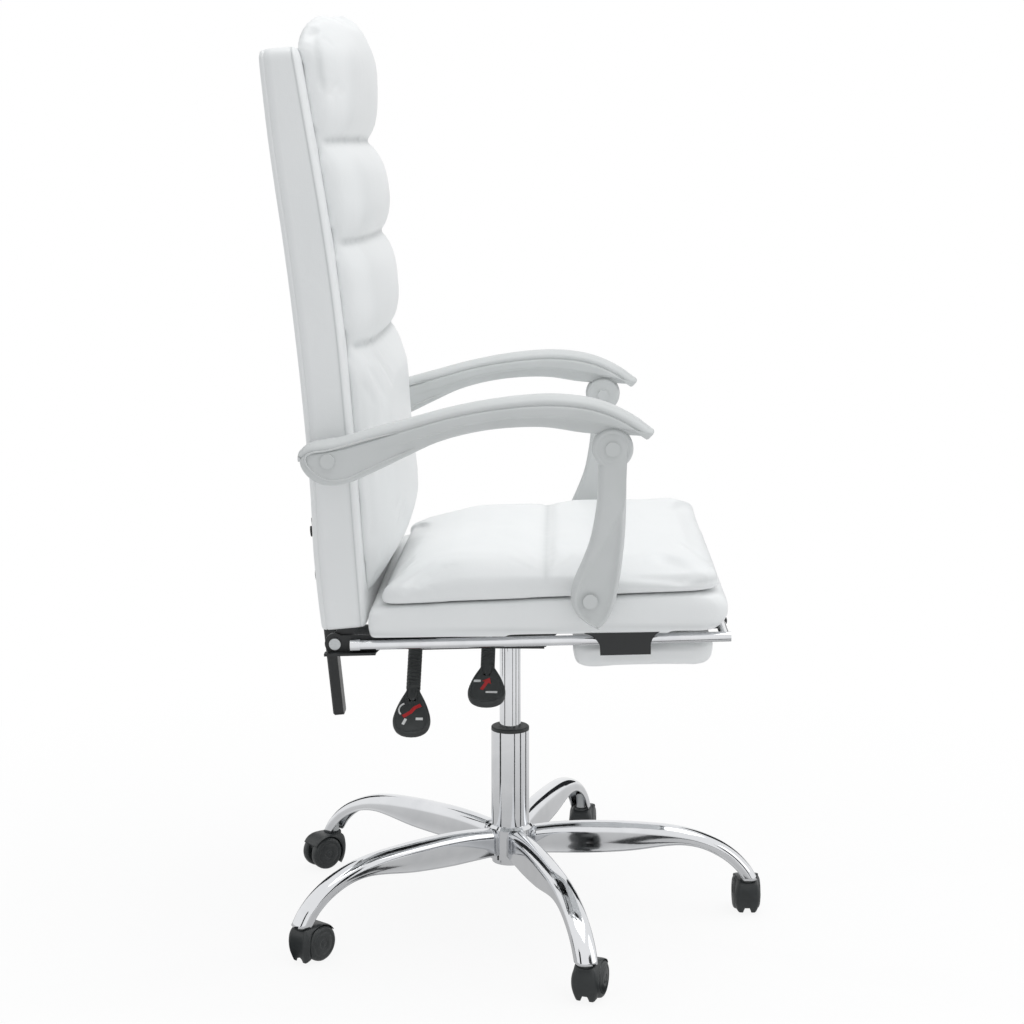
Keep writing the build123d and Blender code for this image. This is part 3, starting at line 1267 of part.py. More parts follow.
rise_steps = (0, 0.04, 0.1, 0.2, 0.35, 0.55, 0.8, 1)
seam_steps = (-1, -0.55, -0.24, -0.07, 0, 0.07, 0.24, 0.55, 1)
cushion_stations = [CUSHION_BOTTOM + CUSHION_RISE * step for step in rise_steps]
cushion_stations += [(CUSHION_BOTTOM + CUSHION_RISE + CUSHION_SEAMS[0]) / 2]
for seam in CUSHION_SEAMS:
    cushion_stations += [seam + CUSHION_SEAM_ROLL * step for step in seam_steps]
cushion_stations += [CUSHION_TOP - HEAD_ROLL * share for share in (1, 0.75, 0.5, 0.3, 0.15, 0.05, 0)]
cushion_sections = []
for station in cushion_stations:
    channel = 1 - min(rolled(abs(station - seam), CUSHION_SEAM_ROLL) for seam in CUSHION_SEAMS)
    lean = HEAD_LEAN * (1 - rolled(CUSHION_TOP - station, CUSHION_TOP - SHELL_TOP))
    depth = cushion_depth(station) - CUSHION_SEAM_CUT * channel - lean
    head_cut = HEAD_CORNER * (1 - rolled(CUSHION_TOP - station, HEAD_CORNER))
    foot_cut = CUSHION_SHOULDER * (1 - rolled(station - CUSHION_BOTTOM, CUSHION_SHOULDER * 2))
    cushion_sections.append(
        padded_section(
            back_plan.offset(station),
            -SHELL_FRONT - lean,
            -1,
            CUSHION_HALF_WIDTH - head_cut - foot_cut - CUSHION_BULGE * channel,
            depth * CUSHION_EDGE_SHARE,
            depth * (1 - CUSHION_EDGE_SHARE),
            CUSHION_BULGE * (1 - channel),
            CUSHION_SHOULDER,
        )
    )
with BuildPart() as back_cushion:
    loft(sections=cushion_sections, ruled=True)
save(back_cushion, "back_cushion")

with BuildPart() as hinge_back_leaves:
    for side in SIDES.values():
        with BuildSketch(back_side.offset(side * leaf_outer_x)):
            with BuildLine():
                Polyline(
                    (-HINGE_END, 0),
                    (HINGE_END, 0),
                    (LEAF_WIDTH - SHELL_FRONT, LEAF_WIDTH),
                    (LEAF_WIDTH - SHELL_FRONT, LEAF_HEIGHT),
                    (-SHELL_FRONT + HINGE_LIP, LEAF_HEIGHT),
                    (-SHELL_FRONT + HINGE_LIP, LEAF_WIDTH),
                    close=True,
                )
            make_face()
            Circle(HINGE_END)
            Circle(HINGE_BOLT_RADIUS + RUNNING_FIT, mode=Mode.SUBTRACT)
        extrude(amount=-side * HINGE_PLATE)
save(hinge_back_leaves, "hinge_back_leaves")

# Back: bar behind the shell, its bolts and the strut clevis
clevis_place = on_back((eye_y, eye_z))
clevis_inner = STRUT_EYE_HALF_WIDTH + PLAY
with BuildPart() as back_bar:
    with BuildSketch(back_face.offset(-BAR_FRONT)):
        with Locations((0, (BAR_TOP + BAR_BOTTOM) / 2)):
            RectangleRounded(BAR_HALF_WIDTH * 2, BAR_TOP - BAR_BOTTOM, BAR_EDGE)
    extrude(amount=-BAR_THICKNESS)
    chamfer(back_bar.faces().sort_by(Axis(hinge_origin, back_rear_way))[-1].edges(), length=BAR_EDGE / 2)
    with BuildSketch(back_face.offset(-BAR_FRONT)):
        with Locations(*[(0, place) for place in BAR_BOLT_PLACES]):
            Circle(BAR_BOSS_RADIUS)
    extrude(amount=BAR_FRONT + board_rear_face)
    for side in SIDES.values():
        with BuildSketch(back_side.offset(side * clevis_inner)):
            with Locations(clevis_place):
                Circle(eye_outer)
            with Locations(((clevis_place[0] + BAR_FRONT) / 2, clevis_place[1])):
                Rectangle(BAR_FRONT - clevis_place[0], eye_outer * 2)
            with Locations(clevis_place):
                Circle(STRUT_EYE_RADIUS + RUNNING_FIT, mode=Mode.SUBTRACT)
        extrude(amount=side * CLEVIS_PLATE)
    with BuildSketch(back_face.offset(-BAR_FRONT - BAR_THICKNESS)):
        with Locations(*[(0, place) for place in BAR_BOLT_PLACES]):
            Circle(BAR_BOLT_RADIUS + RUNNING_FIT)
    extrude(amount=BAR_THICKNESS + BAR_FRONT + SHELL_FRONT, mode=Mode.SUBTRACT)
save(back_bar, "back_bar")

with BuildPart() as back_fasteners:
    for place in BAR_BOLT_PLACES:
        with BuildSketch(back_face.offset(-BAR_FRONT - BAR_THICKNESS)):
            with Locations((0, place)):
                Circle(BAR_BOLT_RADIUS)
        extrude(amount=BAR_THICKNESS + BAR_FRONT + board_rear_face + BACK_BOARD_THICKNESS * 0.6)
        with BuildSketch(back_face.offset(-BAR_FRONT - BAR_THICKNESS)):
            with Locations((0, place)):
                Circle(BAR_BOLT_HEAD)
        extrude(amount=-BAR_BOLT_RADIUS)
    with BuildSketch(back_side):
        with Locations(clevis_place):
            Circle(STRUT_EYE_RADIUS)
    extrude(amount=clevis_inner + CLEVIS_PLATE * 1.5, both=True)
save(back_fasteners, "back_fasteners")

with BuildPart() as arm_rear_bolts:
    for side in SIDES.values():
        bolt_start = ANCHOR_BLOCK_X - ANCHOR_BLOCK_LENGTH
        cap_start = ARM_OUTER_X + PLAY
        with BuildSketch(Plane.YZ.offset(side * bolt_start)):
            with Locations(ARM_PIVOT):
                Circle(ARM_BOLT_RADIUS)
        extrude(amount=side * (cap_start - bolt_start))
        with BuildSketch(Plane.YZ.offset(side * ANCHOR_BLOCK_X)):
            with Locations(ARM_PIVOT):
                Circle(ARM_SHOULDER_RADIUS)
        extrude(amount=side * (ARM_INNER_X - PLAY - ANCHOR_BLOCK_X))
        with BuildSketch(Plane.YZ.offset(side * cap_start)):
            with Locations(ARM_PIVOT):
                Circle(ARM_CAP_RADIUS)
        extrude(amount=side * ARM_CAP_HEIGHT)
save(arm_rear_bolts, "arm_rear_bolts")


# Armrests: hollow moulding with a pivot lug, and its top cover
def lowered(place, drop):
    """Side-view place moved straight down."""
    return (place[0], place[1] - drop)


def cover_region(plane, drop):
    """Everything above the armrest's top line moved down by `drop`."""
    ceiling = ARM_CREST[1] + COVER_THICKNESS
    with BuildSketch(plane) as region:
        with BuildLine():
            ThreePointArc(lowered(ARM_TOP_REAR, drop), lowered(ARM_TOP_MID, drop), lowered(ARM_CREST, drop))
            ThreePointArc(lowered(ARM_CREST, drop), lowered(ARM_TOP_FRONT, drop), lowered(ARM_TIP, drop))
            Polyline(
                lowered(ARM_TIP, drop),
                (ARM_TIP[0] - COVER_THICKNESS * 2, ARM_TIP[1] - drop),
                (ARM_TIP[0] - COVER_THICKNESS * 2, ceiling),
                (ARM_TOP_REAR[0], ceiling),
                lowered(ARM_TOP_REAR, drop),
            )
        make_face()
    return region.sketch


def arm_outline(plane):
    """Side view of an armrest from the rear lobe to the front tip."""
    tip_middle = (ARM_TIP[0] + ARM_TIP_ROUND, (ARM_TIP[1] + ARM_TIP_UNDER[1]) / 2 - ARM_TIP_ROUND)
    with BuildSketch(plane) as outline:
        with BuildLine():
            ThreePointArc(ARM_TOP_REAR, ARM_TOP_MID, ARM_CREST)
            ThreePointArc(ARM_CREST, ARM_TOP_FRONT, ARM_TIP)
            ThreePointArc(ARM_TIP, tip_middle, ARM_TIP_UNDER)
            Line(ARM_TIP_UNDER, ARM_UNDER_FRONT)
            ThreePointArc(ARM_UNDER_FRONT, ARM_UNDER_MID, ARM_UNDER_REAR)
            Line(ARM_UNDER_REAR, ARM_LOBE_FRONT)
            ThreePointArc(ARM_LOBE_FRONT, ARM_LOBE_BOTTOM, ARM_LOBE_LOW)
            ThreePointArc(ARM_LOBE_LOW, ARM_LOBE_REAR, ARM_LOBE_TOP)
            Line(ARM_LOBE_TOP, ARM_TOP_REAR)
        make_face()
    return outline.sketch


def post_outline(plane):
    """Side view of an armrest post from the knuckle down to the lobe on the seat."""
    rear_top = (KNUCKLE[0] + POST_TOP_HALF, KNUCKLE[1])
    front_top = (KNUCKLE[0] - POST_TOP_HALF, KNUCKLE[1])
    with BuildSketch(plane) as outline:
        with BuildLine():
            Polyline(rear_top, front_top, POST_FRONT_BEND)
            ThreePointArc(POST_FRONT_BEND, POST_FRONT_MID, POST_FRONT_LOW)
            ThreePointArc(POST_FRONT_LOW, POST_TOE_MID, POST_TOE)
            Line(POST_TOE, POST_HEEL)
            ThreePointArc(POST_HEEL, POST_LOBE_REAR, POST_LOBE_TOP)
            ThreePointArc(POST_LOBE_TOP, POST_REAR_MID, POST_REAR_BEND)
            Line(POST_REAR_BEND, rear_top)
        make_face()
    return outline.sketch


lug_inner_x = ARM_INNER_X + ARM_EDGE_RADIUS / 2
lug_outer_x = KNUCKLE_INNER_X - LUG_GAP
for name, side in SIDES.items():
    inner_plane = Plane.YZ.offset(side * ARM_INNER_X)
    arm_width = side * (ARM_OUTER_X - ARM_INNER_X)
    with BuildPart() as arm_blank:
        extrude(arm_outline(inner_plane), amount=arm_width)
        rims = arm_blank.faces().filter_by(Axis.X).edges().filter_by(GeomType.CIRCLE)
        top_rims = rims.sort_by(lambda rim: rim.position_at(0.5).Z)[-4:]
        fillet(top_rims, radius=ARM_EDGE_RADIUS)
    with BuildPart() as armrest_cover:
        add(arm_blank.part)
        extrude(cover_region(inner_plane, COVER_THICKNESS), amount=arm_width, mode=Mode.INTERSECT)
    save(armrest_cover, f"armrest_cover_{name}")
    with BuildPart() as armrest_frame:
        add(arm_blank.part)
        extrude(cover_region(inner_plane, COVER_THICKNESS), amount=arm_width, mode=Mode.SUBTRACT)
        with BuildSketch(Plane.YZ.offset(side * (KNUCKLE_INNER_X - PLAY))):
            with Locations(KNUCKLE):
                Circle(KNUCKLE_RADIUS + KNUCKLE_PLAY)
        extrude(amount=arm_width, mode=Mode.SUBTRACT)
        with BuildSketch(Plane.YZ.offset(side * lug_inner_x)):
            with Locations(KNUCKLE):
                Circle(LUG_RADIUS)
            with Locations((KNUCKLE[0], KNUCKLE[1] + LUG_RADIUS)):
                Rectangle(LUG_RADIUS * 2, LUG_RADIUS * 2)
        extrude(amount=side * (lug_outer_x - lug_inner_x))
        with BuildSketch(inner_plane):
            with Locations(KNUCKLE):
                Circle(ARM_BOLT_RADIUS + KNUCKLE_PLAY)
        extrude(amount=arm_width, mode=Mode.SUBTRACT)
        with BuildSketch(inner_plane):
            with Locations(ARM_PIVOT):
                Circle(ARM_BOLT_RADIUS + RUNNING_FIT)
        extrude(amount=arm_width, mode=Mode.SUBTRACT)
    save(armrest_frame, f"armrest_frame_{name}")
    with BuildPart() as arm_post:
        extrude(
            post_outline(Plane.YZ.offset(side * POST_INNER_X)),
            amount=side * (POST_OUTER_X - POST_INNER_X),
        )
        fillet(arm_post.faces().sort_by(Axis.X)[0 if side < 0 else -1].edges(), radius=POST_EDGE_RADIUS)
        with BuildSketch(Plane.YZ.offset(side * KNUCKLE_INNER_X)):
            with Locations(KNUCKLE):
                Circle(KNUCKLE_RADIUS)
        extrude(amount=side * (POST_OUTER_X - KNUCKLE_INNER_X))
        with BuildSketch(Plane.YZ.offset(side * POST_INNER_X)):
            with Locations(KNUCKLE):
                Circle(KNUCKLE_RADIUS + KNUCKLE_PLAY)
        extrude(amount=side * (KNUCKLE_INNER_X - POST_INNER_X), mode=Mode.SUBTRACT)
        with BuildSketch(Plane.YZ.offset(side * (POST_OUTER_X - RECESS_DEPTH))):
            with Locations(POST_PIVOT):
                Circle(RECESS_RADIUS)
        extrude(amount=side * RECESS_DEPTH, mode=Mode.SUBTRACT)
        with BuildSketch(Plane.YZ.offset(side * POST_INNER_X)):
            with Locations(POST_PIVOT, KNUCKLE):
                Circle(ARM_BOLT_RADIUS + RUNNING_FIT)
        extrude(amount=side * (POST_OUTER_X - POST_INNER_X), mode=Mode.SUBTRACT)
    save(arm_post, f"arm_post_{name}")
    nut_outer = lug_inner_x - PLAY
    with BuildPart() as arm_front_bolt:
        with BuildSketch(Plane.YZ.offset(side * (nut_outer - ARM_NUT_HEIGHT))):
            with Locations(KNUCKLE):
                Circle(ARM_BOLT_RADIUS)
        extrude(amount=side * (POST_OUTER_X - nut_outer + ARM_NUT_HEIGHT))
        with BuildSketch(Plane.YZ.offset(side * POST_OUTER_X)):
            with Locations(KNUCKLE):
                Circle(ARM_CAP_RADIUS)
        extrude(amount=side * ARM_CAP_HEIGHT)
        with BuildSketch(Plane.YZ.offset(side * nut_outer)):
            with Locations(KNUCKLE):
                RegularPolygon(ARM_NUT_RADIUS, 6)
        extrude(amount=-side * ARM_NUT_HEIGHT)
    save(arm_front_bolt, f"arm_front_bolt_{name}")

# Footrest: rails with caps, crossbar, board, pad and hinge sleeves
with BuildPart() as footrest_rails:
    with BuildSketch(seat_face.offset(-RAIL_REAR)):
        with Locations(*[(side * RAIL_X, -RAIL_DROP) for side in SIDES.values()]):
            Circle(RAIL_RADIUS)
    extrude(amount=RAIL_REAR + RAIL_FRONT)
    with BuildSketch(seat_face.offset(-RAIL_REAR)):
        with Locations(*[(side * RAIL_X, -RAIL_DROP) for side in SIDES.values()]):
            Circle(RAIL_CAP_RADIUS)
    extrude(amount=-RAIL_CAP_LENGTH)
save(footrest_rails, "footrest_rails")

with BuildPart() as footrest_crossbar:
    with BuildSketch(seat_side):
        with Locations((-CROSSBAR_PLACE, -RAIL_DROP)):
            Circle(RAIL_RADIUS)
    extrude(amount=RAIL_X, both=True)
    add(footrest_rails.part, mode=Mode.SUBTRACT)
save(footrest_crossbar, "footrest_crossbar")

foot_length = FOOT_PAD_FRONT - FOOT_PAD_REAR
foot_middle = -(FOOT_PAD_FRONT + FOOT_PAD_REAR) / 2
with BuildPart() as footrest_board:
    with BuildSketch(seat_plan.offset(-FOOT_PAD_TOP)):
        with Locations((0, foot_middle)):
            RectangleRounded(
                (FOOT_PAD_HALF_WIDTH - FOOT_BOARD_INSET) * 2,
                foot_length - FOOT_BOARD_INSET * 2,
                FOOT_PAD_CORNER - FOOT_BOARD_INSET / 2,
            )
    extrude(amount=-FOOT_BOARD_THICKNESS)
save(footrest_board, "footrest_board")

foot_stations = [FOOT_PAD_ROLL * share for share in (0, 0.1, 0.35, 1)]
foot_stations += [foot_length / 2]
foot_stations += [foot_length - FOOT_PAD_ROLL * share for share in (1, 0.35, 0.1, 0)]
foot_sections = []
for station in foot_stations:
    from_end = min(station, foot_length - station)
    height_share = SECTION_LEAST * 2 + (1 - SECTION_LEAST * 2) * rolled(from_end, FOOT_PAD_ROLL)
    foot_sections.append(
        padded_section(
            seat_face.offset(FOOT_PAD_REAR + station),
            -FOOT_PAD_TOP,
            -1,
            FOOT_PAD_HALF_WIDTH - FOOT_PAD_CORNER * (1 - rolled(from_end, FOOT_PAD_CORNER)),
            FOOT_PAD_EDGE * height_share,
            FOOT_PAD_CROWN * height_share,
            PAD_BULGE,
            PAD_SHOULDER,
        )
    )
with BuildPart() as footrest_pad:
    loft(sections=foot_sections, ruled=True)
    add(footrest_board.part, mode=Mode.SUBTRACT)
save(footrest_pad, "footrest_pad")

sleeve_radius = RAIL_RADIUS + FOOT_HINGE_WALL
with BuildPart() as footrest_hinges:
    for side in SIDES.values():
        hinge_plane = seat_side.offset(side * FOOT_HINGE_PLACE)
        with BuildSketch(hinge_plane):
            with Locations((-CROSSBAR_PLACE, -RAIL_DROP)):
                Circle(sleeve_radius)
            with Locations((-CROSSBAR_PLACE + FOOT_TONGUE / 2, -FOOT_PAD_TOP + FOOT_HINGE_WALL / 2)):
                Rectangle(FOOT_TONGUE, FOOT_HINGE_WALL)
            with Locations((-CROSSBAR_PLACE, -RAIL_DROP)):
                Circle(RAIL_RADIUS + RUNNING_FIT, mode=Mode.SUBTRACT)
        extrude(amount=FOOT_HINGE_HALF, both=True)
save(footrest_hinges, "footrest_hinges")
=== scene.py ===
"""Looks of a reclining office chair: white upholstery, pale grey arms, chrome star base, black casters.

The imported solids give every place. Points are worked out in millimetres and made in metres.
"""
import json
from math import cos, pi, radians, sin

import bmesh
import bpy
import numpy as np
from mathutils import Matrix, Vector


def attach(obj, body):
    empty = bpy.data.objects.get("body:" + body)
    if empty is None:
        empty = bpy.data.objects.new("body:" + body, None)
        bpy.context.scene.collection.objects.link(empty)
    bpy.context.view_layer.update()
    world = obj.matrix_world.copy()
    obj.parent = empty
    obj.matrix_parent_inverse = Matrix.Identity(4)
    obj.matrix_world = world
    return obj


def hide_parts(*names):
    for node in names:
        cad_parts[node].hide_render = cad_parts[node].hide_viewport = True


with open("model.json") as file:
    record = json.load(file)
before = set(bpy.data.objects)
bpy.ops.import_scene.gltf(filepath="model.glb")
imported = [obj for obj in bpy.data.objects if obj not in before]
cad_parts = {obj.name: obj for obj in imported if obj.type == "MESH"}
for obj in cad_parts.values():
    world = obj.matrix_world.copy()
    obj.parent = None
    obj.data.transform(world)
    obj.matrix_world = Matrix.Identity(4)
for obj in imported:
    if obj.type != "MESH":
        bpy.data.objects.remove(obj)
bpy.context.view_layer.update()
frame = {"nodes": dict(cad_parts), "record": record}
scene = bpy.context.scene
MM = 0.001
STUFFING_PRESSURE = 4
STUFFING_STEPS = 20

# Places shared with the solids
# Planes of the seat's underside and of the leaning back: Y and Z of a point on each, and its tilt
SEAT = (0, 436.5, radians(1.7))
BACK = (204.8, 420.6, radians(5.5))
# Y and Z of the armrests' front knuckles
KNUCKLE = (-124.5, 665.7)
SIDES = {"right": -1, "left": 1}


# Materials
def linear(code):
    """Linear colour of an sRGB hex value."""
    shares = [int(code[place:place + 2], 16) / 255 for place in (1, 3, 5)]
    return [c / 12.92 if c <= 0.04045 else ((c + 0.055) / 1.055) ** 2.4 for c in shares] + [1]


def add_node(tree, kind, sockets=None, **settings):
    """Add a node with its settings; a socket's value is either a constant or another node's output."""
    made = tree.nodes.new(kind)
    for name, value in settings.items():
        setattr(made, name, value)
    for name, value in (sockets or {}).items():
        if isinstance(value, bpy.types.NodeSocket):
            tree.links.new(value, made.inputs[name])
        else:
            made.inputs[name].default_value = value
    return made


def new_finish(name, **sockets):
    """Material with a shader whose even values are set on its own sockets."""
    finish = bpy.data.materials.new(name)
    finish.use_nodes = True
    tree = finish.node_tree
    shader = tree.nodes["Principled BSDF"]
    for socket, value in sockets.items():
        shader.inputs[socket.replace("_", " ")].default_value = value
    place = add_node(tree, "ShaderNodeTexCoord").outputs["Object"]
    return finish, tree, shader, place


def per_mm(size):
    """Texture scale for a pattern of this size in millimetres."""
    return 1 / (size * MM)


def vary(tree, shader, tint, colours, sheen, gloss, relief=None):
    """Run the colour and the roughness from first to last by two patterns, and raise a third as a fine relief."""
    colour = add_node(
        tree, "ShaderNodeMix",
        {0: tint.outputs[0], 6: linear(colours[0]), 7: linear(colours[1])}, data_type="RGBA",
    )
    tree.links.new(colour.outputs[2], shader.inputs["Base Color"])
    rough = add_node(tree, "ShaderNodeMapRange", {"Value": sheen.outputs[0], "To Min": gloss[0], "To Max": gloss[1]})
    tree.links.new(rough.outputs[0], shader.inputs["Roughness"])
    if relief:
        grain, strength, depth = relief
        raised = add_node(
            tree, "ShaderNodeBump", {"Height": grain.outputs[0], "Strength": strength, "Distance": depth * MM},
        )
        tree.links.new(raised.outputs[0], shader.inputs["Normal"])


# White faux leather, polyurethane on a knit, embossed: a soft even sheen, pebbled skin and slack creases.
# The real pebble is about 0.7 mm; it is drawn at 1.6 mm so that it shows.
leather, tree, shader, place = new_finish(
    "white_faux_leather_embossed", IOR=1.5, Coat_Weight=0.06, Coat_Roughness=0.32,
)
pebble = add_node(tree, "ShaderNodeTexVoronoi", {"Vector": place, "Scale": per_mm(1.6)}, feature="SMOOTH_F1")
slack = add_node(tree, "ShaderNodeTexNoise", {"Vector": place, "Scale": per_mm(55), "Detail": 2.5, "Distortion": 0.6})
tone = add_node(tree, "ShaderNodeTexNoise", {"Vector": place, "Scale": per_mm(130), "Detail": 2})
# Painted shade: the sewn attribute greys the leather towards #C9CCCC in seams and creases, where shade falls.
sewn = add_node(tree, "ShaderNodeAttribute", attribute_name="sewn")
body_colour = add_node(
    tree, "ShaderNodeMix",
    {0: tone.outputs["Fac"], 6: linear("#ECEEEE"), 7: linear("#F3F4F4")}, data_type="RGBA",
)
seam_shaded_colour = add_node(
    tree, "ShaderNodeMix",
    {0: sewn.outputs["Fac"], 6: body_colour.outputs[2], 7: linear("#C9CCCC")}, data_type="RGBA",
)
gloss = add_node(
    tree, "ShaderNodeMapRange",
    {"Value": pebble.outputs["Distance"], "From Max": 0.7, "To Min": 0.36, "To Max": 0.5},
)
creased = add_node(
    tree, "ShaderNodeBump", {"Height": slack.outputs["Fac"], "Strength": 0.35, "Distance": 4 * MM},
)
grained = add_node(
    tree, "ShaderNodeBump",
    {"Height": pebble.outputs["Distance"], "Strength": 0.16, "Distance": 0.4 * MM, "Normal": creased.outputs[0]},
)
tree.links.new(seam_shaded_colour.outputs[2], shader.inputs["Base Color"])
tree.links.new(gloss.outputs[0], shader.inputs["Roughness"])
tree.links.new(grained.outputs[0], shader.inputs["Normal"])

# Pale grey polypropylene, moulded in a spark-eroded tool: a fine even matt grain with faint flow clouds.
# The real grain is about 0.3 mm; it is drawn at 1.1 mm so that it shows.
arm_plastic, tree, shader, place = new_finish("pale_grey_polypropylene_moulded", IOR=1.49)
spark = add_node(tree, "ShaderNodeTexNoise", {"Vector": place, "Scale": per_mm(1.1), "Detail": 2})
flow = add_node(tree, "ShaderNodeTexNoise", {"Vector": place, "Scale": per_mm(70), "Detail": 1, "Distortion": 1.2})
vary(tree, shader, flow, ("#CCCFCE", "#D5D7D7"), spark, (0.4, 0.56), (spark, 0.12, 0.3))

# Chrome plate on polished steel: a mirror with a cool cast, faint wiped haze and a slow ripple of the pressing.
chrome, tree, shader, place = new_finish("chrome_plate_polished", Metallic=1.0)
haze = add_node(tree, "ShaderNodeTexNoise", {"Vector": place, "Scale": per_mm(40), "Detail": 4, "Distortion": 0.8})
ripple = add_node(tree, "ShaderNodeTexNoise", {"Vector": place, "Scale": per_mm(28), "Detail": 0})
vary(tree, shader, haze, ("#D3D5D8", "#E9EAEC"), haze, (0.03, 0.12), (ripple, 0.1, 0.8))

# Zinc-plated steel, turned and tumbled: a grey metal with short fine scratches. Real marks are 0.2 mm, drawn at 0.7.
zinc, tree, shader, place = new_finish("zinc_plated_steel_turned", Metallic=1.0)
lathe = add_node(tree, "ShaderNodeMapping", {"Vector": place, "Scale": (1, 1, 6)})
marks = add_node(
    tree, "ShaderNodeTexNoise", {"Vector": lathe.outputs[0], "Scale": per_mm(0.7) / 6, "Detail": 3},
)
vary(tree, shader, marks, ("#A9ADAF", "#CFD2D3"), marks, (0.22, 0.42))

# Black polyester powder coat on steel, baked: a low sheen over a fine orange peel, greyer where the coat is thin.
# The peel is about 1 mm; it is drawn at 1.8 mm so that it shows.
powder, tree, shader, place = new_finish("black_powder_coat_baked", IOR=1.5, Coat_Weight=0.1, Coat_Roughness=0.4)
peel = add_node(tree, "ShaderNodeTexNoise", {"Vector": place, "Scale": per_mm(1.8), "Detail": 1})
thin = add_node(tree, "ShaderNodeTexNoise", {"Vector": place, "Scale": per_mm(22), "Detail": 3})
vary(tree, shader, thin, ("#161819", "#25282A"), thin, (0.36, 0.52), (peel, 0.25, 0.25))

# Black nylon, moulded: a satin skin with faint flow clouds and scuffs. Scuff width 0.4 mm, drawn at 2 mm.
nylon, tree, shader, place = new_finish("black_nylon_moulded", IOR=1.53)
cloud = add_node(tree, "ShaderNodeTexNoise", {"Vector": place, "Scale": per_mm(14), "Detail": 3})
scuff = add_node(tree, "ShaderNodeTexNoise", {"Vector": place, "Scale": per_mm(2), "Detail": 4})
vary(tree, shader, cloud, ("#222526", "#323637"), scuff, (0.28, 0.5), (scuff, 0.12, 0.3))

# Black soft PVC, moulded over the rod: matt, slightly grey, with a fine leathery grain of 1 mm.
soft_pvc, tree, shader, place = new_finish("black_soft_pvc_moulded", IOR=1.52)
skin = add_node(tree, "ShaderNodeTexVoronoi", {"Vector": place, "Scale": per_mm(1)}, feature="SMOOTH_F1")
bloom = add_node(tree, "ShaderNodeTexNoise", {"Vector": place, "Scale": per_mm(18), "Detail": 3})
vary(tree, shader, bloom, ("#262929", "#383C3C"), skin, (0.45, 0.65), (skin, 0.15, 0.3))

# Pad-printed ink, red and white: flat, with a slightly patchy lay of about 3 mm.
inks = {}
for ink, low, high in (("red", "#B01F22", "#C8292B"), ("white", "#DADBDA", "#F1F1EF")):
    inks[ink], tree, shader, place = new_finish(f"{ink}_ink_pad_printed", IOR=1.48)
    patch = add_node(tree, "ShaderNodeTexNoise", {"Vector": place, "Scale": per_mm(3), "Detail": 3})
    vary(tree, shader, patch, (low, high), patch, (0.4, 0.6))

# Poplar plywood, raw: warm, dull, with grain lines along the board about 6 mm apart.
plywood, tree, shader, place = new_finish("poplar_plywood_raw", IOR=1.45)
drawn_out = add_node(tree, "ShaderNodeMapping", {"Vector": place, "Scale": (1, 0.15, 0.4)})
grain = add_node(
    tree, "ShaderNodeTexNoise", {"Vector": drawn_out.outputs[0], "Scale": per_mm(6), "Detail": 4, "Distortion": 0.5},
)
vary(tree, shader, grain, ("#B08D63", "#D4B48A"), grain, (0.6, 0.8))

# Every carried-over solid takes the finish of its slot
slot_finish = {
    "chrome_steel": chrome,
    "bright_steel": zinc,
    "black_steel": powder,
    "black_plastic": soft_pvc,
    "black_nylon": nylon,
    "white_faux_leather": leather,
    "plywood": plywood,
    "grey_plastic": arm_plastic,
    "grey_capped_bolt": arm_plastic,
}
for part in frame["record"]["subparts"]:
    solid = frame["nodes"][part["node"]]
    solid.data.materials.clear()
    solid.data.materials.append(slot_finish[part["material_slot"]])
frame["nodes"]["back_fasteners"].data.materials[0] = powder


# Mesh making
def placed(plane, x, along, up):
    """Chair places of points that lie along a tilted plane and up from its origin."""
    y, z, tilt = plane
    x, along, up = np.broadcast_arrays(x, along, up)
    y = y + along * cos(tilt) + up * sin(tilt)
    z = z - along * sin(tilt) + up * cos(tilt)
    return np.stack([x, y, z], axis=-1)


def places_in(plane, points):
    """Coordinates of chair places in a tilted plane: along it and up."""
    y = points[:, 1] - plane[0]
    z = points[:, 2] - plane[1]
    tilt = plane[2]
    return y * cos(tilt) - z * sin(tilt), y * sin(tilt) + z * cos(tilt)


def ease(value, low, high):
    """Smooth step from 0 at `low` to 1 at `high`."""
    share = np.clip((np.asarray(value, float) - low) / (high - low), 0, 1)
    return share * share * (3 - 2 * share)


def hump(value, middle, reach):
    """Smooth bump of height 1 at `middle` that ends `reach` away."""
    return 1 - ease(np.abs(np.asarray(value, float) - middle), 0, reach)


def spline(stations, steps):
    """Smooth curve through stations, places or single values, `steps` points to a stretch."""
    stations = np.asarray(stations, float)
    padded = np.concatenate([[2 * stations[0] - stations[1]], stations, [2 * stations[-1] - stations[-2]]])
    made = []
    for a, b, c, d in zip(padded, padded[1:], padded[2:], padded[3:]):
        for t in np.linspace(0, 1, steps, endpoint=False):
            made.append(
                0.5 * (2 * b + (c - a) * t + (2 * a - 5 * b + 4 * c - d) * t ** 2 + (3 * b - a - 3 * c + d) * t ** 3)
            )
    made.append(stations[-1])
    return np.array(made)


def rounded_outline(corners, radii, arc=8, run=6):
    """Closed outline through rounded corners, with the same count of points for any sizes."""
    corners = np.asarray(corners, float)
    count = len(corners)
    starts = []
    ends = []
    for i in range(count):
        before = corners[i - 1] - corners[i]
        after = corners[(i + 1) % count] - corners[i]
        starts.append(corners[i] + before * min(radii[i] / np.linalg.norm(before), 0.49))
        ends.append(corners[i] + after * min(radii[i] / np.linalg.norm(after), 0.49))
    made = []
    for i in range(count):
        for t in np.linspace(0, 1, arc):
            made.append(starts[i] * (1 - t) ** 2 + corners[i] * 2 * t * (1 - t) + ends[i] * t ** 2)
        for t in np.linspace(0, 1, run + 2)[1:-1]:
            made.append(ends[i] * (1 - t) + starts[(i + 1) % count] * t)
    return np.array(made)


def four_corners(half, first, second):
    """Corners of a plan that is even about the middle, between two places along it."""
    return [(-half, first), (half, first), (half, second), (-half, second)]


